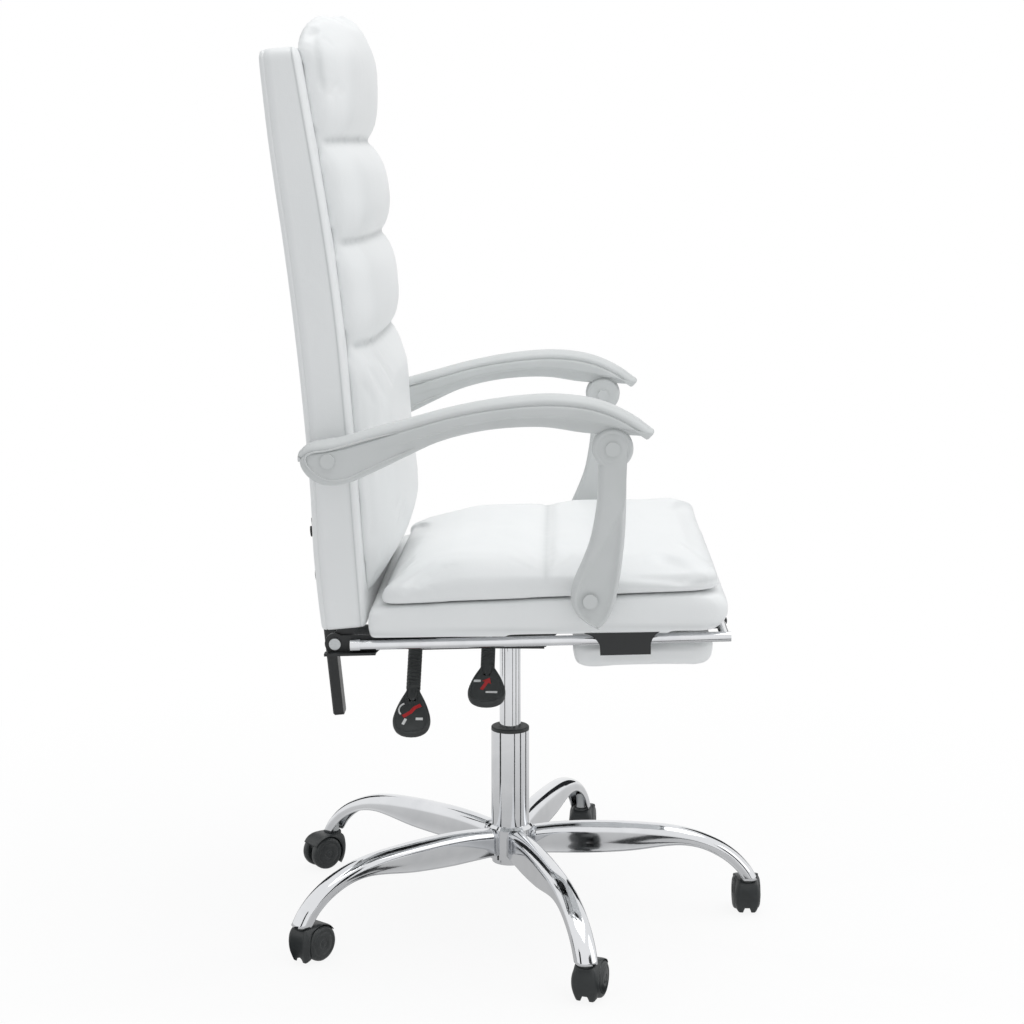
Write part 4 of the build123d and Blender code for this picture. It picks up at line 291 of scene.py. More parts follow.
def shell(rings, capped=True):
    """Points and faces of a skin over closed rings of equal count."""
    rings = np.asarray(list(rings))
    layers, count = rings.shape[:2]
    faces = []
    for low in range(0, (layers - 1) * count, count):
        for step in range(count):
            after = (step + 1) % count
            faces.append((low + step, low + after, low + count + after, low + count + step))
    if capped:
        faces.append(tuple(range(count - 1, -1, -1)))
        faces.append(tuple(range((layers - 1) * count, layers * count)))
    return rings.reshape(-1, 3), faces


def new_mesh(name, points, faces):
    """Object with a smooth closed mesh, in metres."""
    mesh = bpy.data.meshes.new(name)
    mesh.from_pydata((np.asarray(points) * MM).tolist(), [], faces)
    skin = bmesh.new()
    skin.from_mesh(mesh)
    bmesh.ops.remove_doubles(skin, verts=skin.verts, dist=0.005 * MM)
    bmesh.ops.recalc_face_normals(skin, faces=skin.faces)
    skin.to_mesh(mesh)
    skin.free()
    mesh.shade_smooth()
    piece = bpy.data.objects.new(name, mesh)
    scene.collection.objects.link(piece)
    return piece


def joined(name, shells):
    """Object from several shells, each a pair of points and faces."""
    points = []
    faces = []
    for shell_points, shell_faces in shells:
        start = sum(len(group) for group in points)
        points.append(np.asarray(shell_points))
        faces += [tuple(index + start for index in face) for face in shell_faces]
    return new_mesh(name, np.vstack(points), faces)


def settle(piece, finish, slot, body, *nodes):
    """Give a piece its finish, its body and the solids that it stands for."""
    piece.data.materials.clear()
    piece.data.materials.append(finish)
    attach(piece, body)
    if nodes:
        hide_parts(*nodes)


def rounder(piece):
    """Subdivide the skin once for a smooth outline."""
    smooth = piece.modifiers.new("rounder", "SUBSURF")
    smooth.levels = smooth.render_levels = 1


def keep_modified(piece):
    """Take what the modifiers make as the piece's own mesh."""
    bpy.context.view_layer.update()
    made = bpy.data.meshes.new_from_object(piece.evaluated_get(bpy.context.evaluated_depsgraph_get()))
    piece.modifiers.clear()
    piece.data = made
    made.shade_smooth()


def read_points(piece):
    """Points of a piece in millimetres."""
    flat = np.empty(len(piece.data.vertices) * 3)
    piece.data.vertices.foreach_get("co", flat)
    return flat.reshape(-1, 3) / MM


def write_points(piece, points):
    """Put points in millimetres back on a piece."""
    piece.data.vertices.foreach_set("co", (np.asarray(points) * MM).ravel())
    piece.data.update()


def outward(piece):
    """Outward directions at the points of a piece."""
    flat = np.empty(len(piece.data.vertices) * 3)
    piece.data.vertices.foreach_get("normal", flat)
    return flat.reshape(-1, 3)


def stuff(piece, most, hold):
    """Blow the case up as its stuffing does, no point moving more than `most`; `hold` pins points from 0 to 1."""
    before = read_points(piece)
    held = piece.vertex_groups.new(name="held")
    for index, weight in enumerate(hold(before)):
        held.add([index], float(weight), "REPLACE")
    cloth = piece.modifiers.new("stuffing", "CLOTH")
    cloth.settings.quality = 4
    cloth.settings.mass = 0.3
    cloth.settings.use_pressure = True
    cloth.settings.uniform_pressure_force = STUFFING_PRESSURE
    cloth.settings.effector_weights.gravity = 0
    cloth.settings.vertex_group_mass = "held"
    cloth.collision_settings.use_collision = False
    cloth.point_cache.frame_start = 1
    cloth.point_cache.frame_end = STUFFING_STEPS
    for step in range(1, STUFFING_STEPS + 1):
        scene.frame_set(step)
    keep_modified(piece)
    scene.frame_set(1)
    piece.vertex_groups.clear()
    shift = read_points(piece) - before
    size = np.linalg.norm(shift, axis=1, keepdims=True)
    write_points(piece, before + shift * np.minimum(1, most / np.maximum(size, 1e-6)))


def stuffed_cover(name, rings, hold, voxel, most, relaxing=3):
    """A stuffed cover with its points and outward directions; its mesh is made even, then relaxed."""
    piece = joined(name, [shell(rings)])
    even = piece.modifiers.new("even", "REMESH")
    even.mode = "VOXEL"
    even.voxel_size = voxel * MM
    relax = piece.modifiers.new("relax", "SMOOTH")
    relax.factor = 0.5
    relax.iterations = relaxing
    keep_modified(piece)
    stuff(piece, most, hold)
    return piece, read_points(piece), outward(piece)


def paint_seam_shade(piece, amount):
    """Store how deep in a seam each point lies, from 0 to 1, as painted shade that greys the leather there."""
    seam_shade_values = piece.data.attributes.new("sewn", "FLOAT", "POINT")
    seam_shade_values.data.foreach_set("value", np.clip(amount, 0, 1).astype(np.float32))


# Seat base: a padded box, thicker at the front, with a bellied nose and a soft shoulder under the pad
BASE_HALF = 251
BASE_REAR = 163.5
BASE_FRONT = -251
BASE_NOSE = 15


def seat_split(along):
    """Height of the line between base and pad, rising from the rear to the front."""
    return 38 + 8 * (134 - along) / 390 - 3 * ease(along, 134, 164)


def seat_base_rings():
    """Outlines from the middle of the underside, round the sides, to the middle of the top."""
    levels = [(150, 0.02), (60, 0.015), (16, 0.01), (8, 0), (4, -0.05), (1.4, -0.06), (0.2, 0.02)]
    levels += [(0, 0.13), (0, 0.3), (0, 0.5), (0.2, 0.68), (1, 0.82), (3, 0.92), (6.5, 0.98)]
    levels += [(14, 1), (60, 1), (150, 1)]
    for inset, share in levels:
        corners = four_corners(BASE_HALF - inset, BASE_REAR - inset * 0.55, BASE_FRONT + inset)
        radii = [max(9 - inset * 0.1, 4)] * 2 + [max(28 - inset * 0.2, 6)] * 2
        plan = rounded_outline(corners, radii, arc=9, run=22)
        belly = 1 - abs(2 * np.clip(share, 0, 1) - 1) ** 3.6
        nose = BASE_NOSE * belly * ease(-plan[:, 1], 200, 250)
        yield placed(SEAT, plan[:, 0], plan[:, 1] - nose, seat_split(plan[:, 1]) * share)


def base_hold(points):
    """The base is held at its underside, under the pad and against the back."""
    along, above = places_in(SEAT, points)
    share = above / seat_split(along)
    sides = ease(share, 0.08, 0.3) * (1 - ease(share, 0.8, 0.95))
    return 1 - sides * (1 - ease(along, 120, 150))


seat_base, points, normals = stuffed_cover("seat_base_cover", seat_base_rings(), base_hold, voxel=5.5, most=3.5)
along, above = places_in(SEAT, points)
flank = 1 - ease(np.abs(normals[:, 2]), 0.5, 0.8)
welt = np.exp(-((above - 6) / 3) ** 2) * flank
slack_folds = np.sin(along / 31 + points[:, 0] / 47) * np.sin(above / 11) * flank
write_points(seat_base, points - normals * (welt * 0.7 + slack_folds * 0.4)[:, None])
# Painted shade: the leather is greyed along the welt's groove.
paint_seam_shade(seat_base, welt * 0.4)
rounder(seat_base)
settle(seat_base, leather, "white_faux_leather", "seat", "seat_base", "seat_frame")

# Seat pad: a loose stuffed cushion on the base, sewn across in front of its middle
PAD_SEAM = -50
PAD_TOP = 77
PAD_HALF = 248.5
PAD_REAR = 150
PAD_FRONT = -258


def seat_pad_rings():
    """Outlines from the middle of the underside, round the edge, to the middle of the top."""
    under = [(150, 0.01), (90, 0.01), (40, 0.01), (18, 0.01), (8, 0.02)]
    edge = [(2.6, 0.06), (0.8, 0.16), (0, 0.32), (0, 0.5), (0.8, 0.66), (3, 0.8), (7.5, 0.91)]
    edge += [(15, 0.98), (26, 1.03)]
    upper = [(48, 1.1), (80, 1.16), (120, 1.21), (165, 1.23)]
    for inset, share in under + edge + upper:
        corners = four_corners(PAD_HALF - inset, PAD_REAR - 6 * min(share, 1) - inset, PAD_FRONT + inset)
        radii = [max(20 - inset * 0.1, 6)] * 2 + [max(30 - inset * 0.2, 8)] * 2
        plan = rounded_outline(corners, radii, arc=9, run=22)
        low = seat_split(plan[:, 1]) + 0.6
        rest = 12 * ease(plan[:, 1], 40, 140)
        rest = rest + 8 * ease(plan[:, 1], 10, 130) * ease(plan[:, 0], -120, 200)
        yield placed(SEAT, plan[:, 0], plan[:, 1], low + (PAD_TOP - rest - low) * share)


def pad_hold(points):
    """The pad is held where it lies on the base and along its seam."""
    along, above = places_in(SEAT, points)
    under = 1 - ease(above - seat_split(along), 2, 9)
    return np.maximum(under, 0.9 * hump(along, PAD_SEAM, 12) * ease(above, 60, 70))


seat_pad, points, normals = stuffed_cover("seat_pad_cover", seat_pad_rings(), pad_hold, voxel=5, most=5)
along, above = places_in(SEAT, points)
topside = ease(normals[:, 2], 0.25, 0.7)
seam_line = np.exp(-((along - PAD_SEAM) / 4) ** 2) * ease(above, 60, 74)
seam_dip = hump(along, PAD_SEAM, 40) * ease(above, 60, 76)
puckers = np.sin(points[:, 0] / 4.1 + np.sin(points[:, 0] / 17) * 1.4) * hump(along, PAD_SEAM, 26) * topside
lip = np.exp(-((above - seat_split(along) - 13) / 3) ** 2) * (1 - topside) * ease(-along, 120, 220)
wander = np.sin(points[:, 0] / 38 + along / 61) * np.sin(along / 43 - points[:, 0] / 90) * topside
drop = seam_line * 1.8 + seam_dip * 1.8 + puckers * 0.25 + lip * 1.8 + wander * 0.9
write_points(seat_pad, points - normals * drop[:, None])
# Painted shade: the leather is greyed along the cross seam and under the pad's lip.
paint_seam_shade(seat_pad, seam_line * 0.5 + lip * 0.4)
rounder(seat_pad)
settle(seat_pad, leather, "white_faux_leather", "seat", "seat_pad")

# Back shell: board wrapped tight, bowed forward at the loins, with a padded roll along its front edge
SHELL_HALF = 239.5
SHELL_LOW = 18.5
SHELL_TOP = 701
SHELL_FACE = -40.6
SHELL_MIDDLE = 232
ROLL_SEAM = 7.6
shell_bow = [(18, -1), (120, -4), (250, -8), (375, -10), (490, -7), (622, 1), (698, 6), (740, 8)]
shell_rear = [(18, 13.5), (60, 14), (120, 13), (190, 8.5), (300, 6), (400, 6), (480, 7.5), (550, 10)]
shell_rear += [(610, 11.5), (701, 11.5)]
bow_curve = spline(shell_bow, 8)
rear_curve = spline(shell_rear, 8)


def shell_front(height):
    """Depth of the shell's front face at a height."""
    return SHELL_FACE + np.interp(height, bow_curve[:, 0], bow_curve[:, 1])


def back_shell_rings():
    """Outlines from the middle line of the front, round the edge band, to the middle line of the rear."""
    front = [(inset, 0) for inset in (SHELL_MIDDLE, 215, 190, 160, 130, 100, 70, 45, 25)]
    front += [(14, 0.2), (8, 0.8), (4.4, 2), (2, 3.6), (0.8, 5.2), (0.3, 6.6)]
    front += [(1.0, ROLL_SEAM), (0.3, 8.6), (0.1, 12)]
    rear = [(0, 16), (0.3, 8.5), (1.4, 7.2), (0.6, 6), (0.9, 4.5), (2.2, 2.3), (5, 0.8), (9, 0.1)]
    rear += [(25, -0.8), (45, -1.5), (70, -2.2), (100, -2.9), (130, -3.3), (160, -3.5), (190, -3.6), (215, -3.6)]
    rear += [(SHELL_MIDDLE, -3.6)]
    for face, steps in (("front", front), ("rear", rear)):
        for inset, depth in steps:
            corners = four_corners(SHELL_HALF - inset, SHELL_LOW + inset * 0.5, SHELL_TOP - inset)
            radii = [max(8 - inset * 0.1, 4)] * 2 + [max(15 - inset * 0.1, 6)] * 2
            outline = rounded_outline(corners, radii, arc=10, run=24)
            height = outline[:, 1]
            rear_face = np.interp(height, rear_curve[:, 0], rear_curve[:, 1])
            d = shell_front(height) + depth if face == "front" else rear_face - depth
            yield placed(BACK, outline[:, 0] * (inset < SHELL_MIDDLE), d, height)


back_shell = joined("back_shell_cover", [shell(back_shell_rings(), capped=False)])
shell_depth, shell_height = places_in(BACK, read_points(back_shell))
# Painted shade: the leather is greyed along the groove behind the front roll.
front_groove_shade = np.exp(-(shell_depth - shell_front(shell_height) - ROLL_SEAM) ** 2)
paint_seam_shade(back_shell, front_groove_shade * 0.6)
settle(back_shell, leather, "white_faux_leather", "back", "back_shell", "back_board")

# Back cushion: four stuffed channels, sewn through to the shell, under a fuller head roll
CUSHION_LOW = 54
CUSHION_TOP = 732
CUSHION_HALF = 214
CHANNELS = (351, 473, 591)
CHANNEL_CUTS = (16, 18, 20)
cushion_crests = [(54, 6), (64, 19), (80, 35), (100, 45.5), (125, 49.5), (160, 48), (225, 45), (300, 46), (412, 47)]
cushion_crests += [(470, 50), (530, 53), (590, 53), (622, 54), (650, 58), (672, 61), (690, 60.5), (705, 57.5)]
cushion_crests += [(718, 48.5), (727, 36), (732, 24)]
cushion_backs = [(54, 0), (690, 0), (705, -3), (718, 0), (727, 6), (732, 12)]
crest_curve = spline(cushion_crests, 6)


def channel_pillow(height, reach):
    """0 in a sewn channel, rising steeply to 1 on the crest."""
    near = np.min([np.abs(height - seam) for seam in CHANNELS], axis=0)
    return 1 - (1 - np.clip(near / reach, 0, 1)) ** 2.3


def back_cushion_rings():
    """Sections of the cushion from its lower edge to the top of the head roll."""
    back = np.array(cushion_backs)
    across = np.sin(np.linspace(-1, 1, 47) * pi / 2)
    heights = np.unique(np.concatenate([np.linspace(CUSHION_LOW, 700, 110), np.linspace(700, CUSHION_TOP, 12)]))
    for height in heights:
        seam = int(np.argmin([abs(height - place) for place in CHANNELS]))
        pinch = 1 - channel_pillow(np.array([height]), 46)[0]
        away = np.interp(height, back[:, 0], back[:, 1])
        depth = np.interp(height, crest_curve[:, 0], crest_curve[:, 1]) - CHANNEL_CUTS[seam] * pinch
        half = CUSHION_HALF - 7 * pinch - 9 * (1 - ease(height, CUSHION_LOW, 110))
        half = half - 26 * ease(height, 694, 742) ** 1.5
        rear = shell_front(height) + 2 * (1 - ease(height, 640, 700)) - away
        curve = max(depth, 3) * (1 - 0.2 * across ** 2) * (1 - np.abs(across) ** 7) ** (1 / 2.2)
        back_x = np.linspace(half, -half, 13)[1:-1]
        x = np.concatenate([half * across, back_x])
        d = np.concatenate([rear - curve, np.full(11, rear)])
        crown = 20 * (0.66 - (x / 205) ** 2) * ease(height, 640, 728)
        yield placed(BACK, x, d, height + crown)


def cushion_hold(points):
    """The cushion is held where it lies on the shell and along its channels."""
    depth, height = places_in(BACK, points)
    on_shell = 1 - ease(shell_front(height) - depth, 2, 9)
    sewn_down = np.max([hump(height, seam, 13) for seam in CHANNELS], axis=0)
    return np.maximum(on_shell, sewn_down * 0.95)


back_cushion, points, normals = stuffed_cover(
    "back_cushion_cover", back_cushion_rings(), cushion_hold, voxel=4.8, most=3.5, relaxing=5,
)
depth, height = places_in(BACK, points)
proud = ease(shell_front(height) - depth, 3, 14)
x = points[:, 0]
crease = np.max([np.exp(-((height - seam) / 4.2) ** 2) for seam in CHANNELS], axis=0) * proud
pucker_reach = np.max([hump(height, seam, 34) for seam in CHANNELS], axis=0)
pucker_wave = np.sin(x / 4.6 + 1.7 * np.sin(x / 21)) * 0.6 + np.sin(x / 7.9 + 2.0) * 0.4
fold_place = ease(np.abs(x), 120, 190) * hump(height, 230, 130) * proud
lower_folds = np.sin(np.abs(x) / 3.6 + depth / 9) * fold_place
fold_line = shell_front(height) - 17 - (height - 640) * 0.05
head_fold = np.exp(-((depth - fold_line) / 4) ** 2) * ease(height, 628, 664) * ease(np.abs(x), 182, 204)
drop = crease * 3.2 + pucker_reach * pucker_wave * proud * 0.5 + lower_folds * 0.5 + head_fold * 1.0
write_points(back_cushion, points - normals * drop[:, None])
# Painted shade: the leather is greyed in the channel creases and along the head fold.
paint_seam_shade(back_cushion, crease * 0.7 + head_fold * 0.4)
rounder(back_cushion)
settle(back_cushion, leather, "white_faux_leather", "back", "back_cushion")


# Footrest pad: a thin cushion on a board
FOOT_HALF = 204
FOOT_REAR = -79
FOOT_FRONT = -250


def footrest_pad_rings():
    """Outlines from the middle of the lower face, round the edge, to the middle of the upper face."""
    levels = [(70, -56), (36, -56), (16, -55.5), (8, -54), (3.2, -50.5), (0.8, -45.5), (0, -40), (0, -32)]
    levels += [(0.6, -26), (2.4, -22.6), (6, -20.8), (14, -20.5), (36, -20.5), (70, -20.5)]
    for inset, n in levels:
        corners = four_corners(FOOT_HALF - inset, FOOT_REAR - inset, FOOT_FRONT + inset)
        plan = rounded_outline(corners, [max(16 - inset * 0.1, 5)] * 4, arc=8, run=18)
        yield placed(SEAT, plan[:, 0], plan[:, 1], n)


def footrest_hold(points):
    """The footrest pad is held on its board."""
    return ease(places_in(SEAT, points)[1], -34, -25)


footrest_pad, points, normals = stuffed_cover(
    "footrest_pad_cover", footrest_pad_rings(), footrest_hold, voxel=5, most=1.5,
)
above = places_in(SEAT, points)[1]
side_seam = np.exp(-((above + 26) / 3) ** 2) * (1 - ease(np.abs(normals[:, 2]), 0.5, 0.8))
write_points(footrest_pad, points - normals * (side_seam * 0.9)[:, None])
# Painted shade: the leather is greyed along the side seam.
paint_seam_shade(footrest_pad, side_seam * 0.5)
rounder(footrest_pad)
settle(footrest_pad, leather, "white_faux_leather", "footrest_flap", "footrest_pad", "footrest_board")


# Armrests: a moulded bow with a rounded cover, a groove under it, and a flange scooped out below
ARM_MIDDLE = 272
ARM_HALF = 24
arm_tops = [(236, 662), (231, 667), (222, 671), (208, 673.5), (186, 677.5), (150, 688), (108, 699.5), (63, 711.7)]
arm_tops += [(10, 722), (-46, 727.5), (-88, 725), (-120, 717), (-148, 703.5), (-165, 691.5), (-172, 686.5)]
arm_unders = [(237, 652), (234, 641), (225, 630), (208, 622), (182, 624), (150, 637.5), (112, 656), (72, 674)]
arm_unders += [(18, 686.5), (-42, 690), (-86, 684), (-116, 681.5), (-142, 681), (-158, 680.3), (-167, 681)]
arm_scoops = [0, 0, 0, 0, 0, 0, 0.15, 0.6, 1, 1, 1, 1, 0.9, 0.6, 0.3]
arm_widths = [0.72, 0.86, 0.95, 1, 1, 1, 1, 1, 1, 1, 1, 1, 0.98, 0.92, 0.8]


def arm_section(height, scoop, width):
    """Half section of the arm: cover, groove, band, and the flange under it, as (out, up) from the lower edge."""
    band = max(height - 25, height * 0.38)
    rim = min(7, height * 0.2)
    drops = [(0, 0), (9, 0.2), (16, 1.2), (20.3, 3.2), (22.6, 6.2), (23, 8.8), (22.6, 9.9), (21.4, 10.6)]
    drops += [(21.5, 11.4), (23.3, 12.2), (24, 13.6)]
    upper = [(out, height - drop) for out, drop in drops]
    upper += [(24, (height - 13.6 + band) / 2), (24, band + 1.5)]
    lower = [
        (24 - 0.7 * scoop, band), (24 - 4 * scoop, band - 1.2), (24 - 8.5 * scoop, band - 2.2 * scoop - 1),
        (24 - 9.5 * scoop, (band + rim) / 2), (23.6 - 9.5 * scoop, rim), (22.2 - 8.5 * scoop, rim * 0.4),
        (19 - 7 * scoop, rim * 0.1), (10, 0), (0, 0),
    ]
    return np.array(upper + lower) * (width, 1)


def arm_rings(side):
    """Sections of an armrest from the rear lobe to the front tip."""
    steps = 4
    tops = spline(arm_tops, steps)
    unders = spline(arm_unders, steps)
    scoops = np.clip(spline(arm_scoops, steps), 0, 1)
    widths = spline(arm_widths, steps)
    rings = []
    for top, under, scoop, width in zip(tops, unders, scoops, widths):
        height = np.linalg.norm(top - under)
        half = arm_section(height, scoop, width)
        outline = np.vstack([half, half[-2:0:-1] * (-1, 1)])
        up = (top - under) / height
        places = under + outline[:, 1:] * up
        rings.append(np.column_stack([side * ARM_MIDDLE + outline[:, 0], places]))
    for rings_end, inward in ((0, 1), (-1, -1)):
        middle = rings[rings_end].mean(axis=0)
        closing = [middle + (rings[rings_end] - middle) * share for share in (0.82, 0.5, 0.15)]
        lead = (rings[rings_end] - rings[rings_end + inward]).mean(axis=0)
        lead = lead / np.linalg.norm(lead)
        closing = [ring + lead * push for ring, push in zip(closing, (1.6, 2.6, 3.0))]
        rings = closing[::-1] + rings if rings_end == 0 else rings + closing
    return rings


# Lobe of the arm: a raised line inside its rim, on both faces
lobe_line = [(120, 686), (160, 676), (200, 664.5), (222, 661), (229, 655), (226, 645), (214, 634), (200, 629)]
lobe_line += [(182, 631), (160, 641), (130, 655), (100, 668)]


def circle(count):
    """Cosines and sines of even turns round a circle."""
    turns = np.arange(count) * 2 * pi / count
    return np.cos(turns), np.sin(turns)


def tube(path, radius):
    """Shell of a thin round bead along a path, tapered to its ends."""
    path = np.asarray(path, float)
    ring = circle(8)
    rings = []
    for index, middle in enumerate(path):
        lead = path[min(index + 1, len(path) - 1)] - path[max(index - 1, 0)]
        lead = lead / np.linalg.norm(lead)
        out = np.cross(lead, (1, 0, 0) if abs(lead[0]) < 0.9 else (0, 1, 0))
        out = out / np.linalg.norm(out)
        over = np.cross(lead, out)
        size = radius * min(1, 0.15 + min(index, len(path) - 1 - index) / 6)
        rings.append(middle + size * (np.outer(ring[0], out) + np.outer(ring[1], over)))
    return shell(rings)


def turned(profile, centre, side):
    """Shell turned about an axis along X through a side-view centre; profile is (x, radius)."""
    ring = circle(48)
    return shell(
        np.column_stack([np.full(48, side * x), centre[0] + radius * ring[0], centre[1] + radius * ring[1]])
        for x, radius in profile
    )


lug_profile = [(251, 5), (251, 18), (251.8, 21), (253.5, 22.6), (256, 23.2), (266, 23.2), (268.2, 22.4)]
lug_profile += [(268.6, 20), (268.6, 5)]
for name, side in SIDES.items():
    outer = side * (ARM_MIDDLE + ARM_HALF - 0.5)
    inner = side * (ARM_MIDDLE - ARM_HALF + 0.5)
    line = spline(lobe_line, 6)
    beads = [tube(np.column_stack([np.full(len(line), x), line]), 1.3) for x in (outer, inner)]
    bow = joined(f"armrest_bow_{name}", [shell(arm_rings(side)), turned(lug_profile, KNUCKLE, side)] + beads)
    rounder(bow)
    settle(bow, arm_plastic, "grey_plastic", f"armrest_{name}", f"armrest_frame_{name}", f"armrest_cover_{name}")

# Arm posts: a blade from the knuckle down to a leaf-shaped foot with a sunk panel
POST_BACK = 262
POST_FACE = 290
PANEL_SINK = 4.6
post_fronts = [(-141, 672), (-141, 650), (-141, 620), (-141, 596), (-140, 566), (-137, 532), (-133.5, 506)]
post_fronts += [(-129.5, 486), (-125.5, 473), (-120.5, 464), (-115, 457.5), (-110.5, 453.5)]
post_rears = [(-108, 672), (-108, 650), (-107.8, 622), (-106.5, 598), (-100, 560), (-90.5, 533), (-81.5, 512)]
post_rears += [(-77.3, 495), (-78.2, 481), (-84, 469), (-94, 460.5), (-104, 455)]
post_panel_rear = [0.86, 0.86, 0.82, 0.74, 0.46, 0.24, 0.18, 0.16, 0.17, 0.22, 0.3, 0.42]
post_panel_sink = [0, 0, 0, 0.15, 0.8, 1, 1, 1, 1, 0.9, 0.5, 0.1]


def post_rings(side):
    """Sections of a post from the knuckle to the toe."""
    steps = 4
    fronts = spline(post_fronts, steps)
    rears = spline(post_rears, steps)
    edges = np.clip(spline(post_panel_rear, steps), 0.1, 0.9)
    sinks = np.clip(spline(post_panel_sink, steps), 0, 1) * PANEL_SINK
    rings = []
    for front, rear, edge, sink in zip(fronts, rears, edges, sinks):
        width = np.linalg.norm(front - rear)
        rim = 5 / width
        step = 2.4 / width
        edge_front = max(1 - rim * 1.3, edge + 2.5 * step)
        back = POST_BACK + 8.5 * float(ease((front[1] + rear[1]) / 2, 626, 641))
        lip = POST_FACE - sink * 0.35
        sunk = POST_FACE - sink
        profile = [
            (0.0, back + 4), (0.0, 278), (0.2 * rim, 284), (0.55 * rim, 288.4), (1.1 * rim, POST_FACE),
            (max(edge - step, 1.3 * rim), POST_FACE), (edge, lip), (edge + step, sunk),
            ((edge + edge_front) / 2, sunk), (edge_front - step, sunk), (edge_front, lip),
            (1 - 0.9 * rim, 289.6), (1 - 0.5 * rim, 288.2), (1 - 0.15 * rim, 284), (1.0, 278), (1.0, back + 4),
            (1 - 0.3 * rim, back + 1), (1 - 0.9 * rim, back), (0.5, back), (0.9 * rim, back), (0.3 * rim, back + 1),
        ]
        rings.append([(side * out, *(rear + (front - rear) * share)) for share, out in profile])
    rings = [np.array(ring) for ring in rings]
    middle = rings[-1].mean(axis=0)
    rings += [middle + (rings[-1] - middle) * share + (0, 0, -drop) for share, drop in ((0.7, 0.8), (0.25, 1.2))]
    return rings


knuckle_profile = [(270, 6), (270, 21.5), (270.6, 23.2), (272, 24), (280, 24), (285.5, 24), (288, 23.4)]
knuckle_profile += [(289.6, 21.8), (290, 20), (289.3, 18.8), (289.3, 17.6), (290, 16.4), (290.5, 12), (290.7, 6)]
for name, side in SIDES.items():
    blade = joined(f"arm_post_blade_{name}", [shell(post_rings(side)), turned(knuckle_profile, KNUCKLE, side)])
    rounder(blade)
    settle(blade, arm_plastic, "grey_plastic", f"post_{name}", f"arm_post_{name}")


# Lever grips: a ribbed sleeve on the rod and a rimmed paddle with its own simple signs
LEVER_BEND_X = -117
LEVER_Z = 404
SIGN_SCALE = 1.35
# Each lever: place along the seat, slope of its end, length to the paddle
LEVERS = {"lift": (24, radians(31), 52), "lock": (115, radians(42), 79)}


def on_lever(lever, along, across, over):
    """Chair places of points along a lever's sloping end, across it, and over its upper face."""
    y, slope = LEVERS[lever][:2]
    along, across, over = np.broadcast_arrays(along, across, over)
    x = LEVER_BEND_X - along * cos(slope) - over * sin(slope)
    z = LEVER_Z - along * sin(slope) + over * cos(slope)
    return np.stack([x, y + across, z], axis=-1)


def sleeve_rings(lever):
    """Rings of the ribbed sleeve, a flattened tube."""
    neck = LEVERS[lever][2]
    flat = [np.sign(wave) * np.abs(wave) ** 0.75 for wave in circle(32)]
    pitch = 5.2
    start = 11.5
    ribs = int((neck + 5 - start) / pitch)
    sizes = [(start, 4.4), (start, 6.8), (start + 0.5, 7.4)]
    for rib in range(ribs):
        low = start + 0.8 + rib * pitch
        rise = ((0, 7.3), (0.5, 8.4), (1.2, 8.8), (3.0, 8.8), (3.7, 8.4), (4.2, 7.3))
        sizes += [(low + along, radius) for along, radius in rise]
    sizes += [(neck + 6, 7.3), (neck + 13, 6.9), (neck + 20, 5.0), (neck + 22, 3.0)]
    for along, radius in sizes:
        yield on_lever(lever, along, radius * flat[0], radius * 0.92 * flat[1])


def paddle_outline(lever, inset):
    """Pear-shaped outline of a paddle as (along, across), drawn in by `inset`."""
    neck = LEVERS[lever][2]
    flank = [(0, 7.6), (6, 9.2), (15, 13.6), (26, 18.2), (38, 21.8), (46, 23), (54, 22), (61, 18.3)]
    flank += [(65.6, 12), (67.6, 5.5)]
    half = spline(flank, 3)
    closed = np.vstack([half, [(68, 0)], half[::-1] * (1, -1)])
    middle = np.array([40, 0])
    lead = np.roll(closed, -1, axis=0) - np.roll(closed, 1, axis=0)
    lead = lead / np.maximum(np.linalg.norm(lead, axis=1, keepdims=True), 1e-6)
    out = np.column_stack([-lead[:, 1], lead[:, 0]])
    flip = np.where(np.sum(out * (closed - middle), axis=1, keepdims=True) > 0, 1, -1)
    return closed - out * flip * inset + (neck, 0)


def paddle_rings(lever):
    """Outlines of a paddle from its lower face, round the rim, to the sunk upper face."""
    steps = [(12, -5), (4, -5), (1.6, -4.6), (0.4, -3.4), (0, -1.5), (0, 1.8), (0.4, 3.6), (1.4, 4.8)]
    steps += [(2.3, 5.3), (3.1, 5.1), (3.7, 4.5), (4.6, 4.3), (7, 4.4), (12, 4.7)]
    for inset, over in steps:
        outline = paddle_outline(lever, min(inset, 6))
        if inset > 6:
            middle = outline.mean(axis=0)
            outline = middle + (outline - middle) * (0.55 if inset > 10 else 0.86)
        yield on_lever(lever, outline[:, 0], outline[:, 1], over)


def sign_shell(lever, outline, turn, place):
    """Thin printed sign on a paddle: an outline turned and placed in the paddle's face."""
    outline = np.asarray(outline, float)
    swing = np.array([[cos(turn), -sin(turn)], [sin(turn), cos(turn)]])
    flat = SIGN_SCALE * outline @ swing.T + (LEVERS[lever][2] + place[0], place[1])
    low = on_lever(lever, flat[:, 0], flat[:, 1], 4.2)
    high = on_lever(lever, flat[:, 0], flat[:, 1], 4.95)
    return shell([low, high])


def bent_strip(points, width):
    """Outline of a strip of even width along a bent line."""
    points = np.asarray(points, float)
    lead = np.gradient(points, axis=0)
    lead = lead / np.linalg.norm(lead, axis=1, keepdims=True)
    out = np.column_stack([-lead[:, 1], lead[:, 0]]) * width / 2
    return np.vstack([points + out, (points - out)[::-1]])


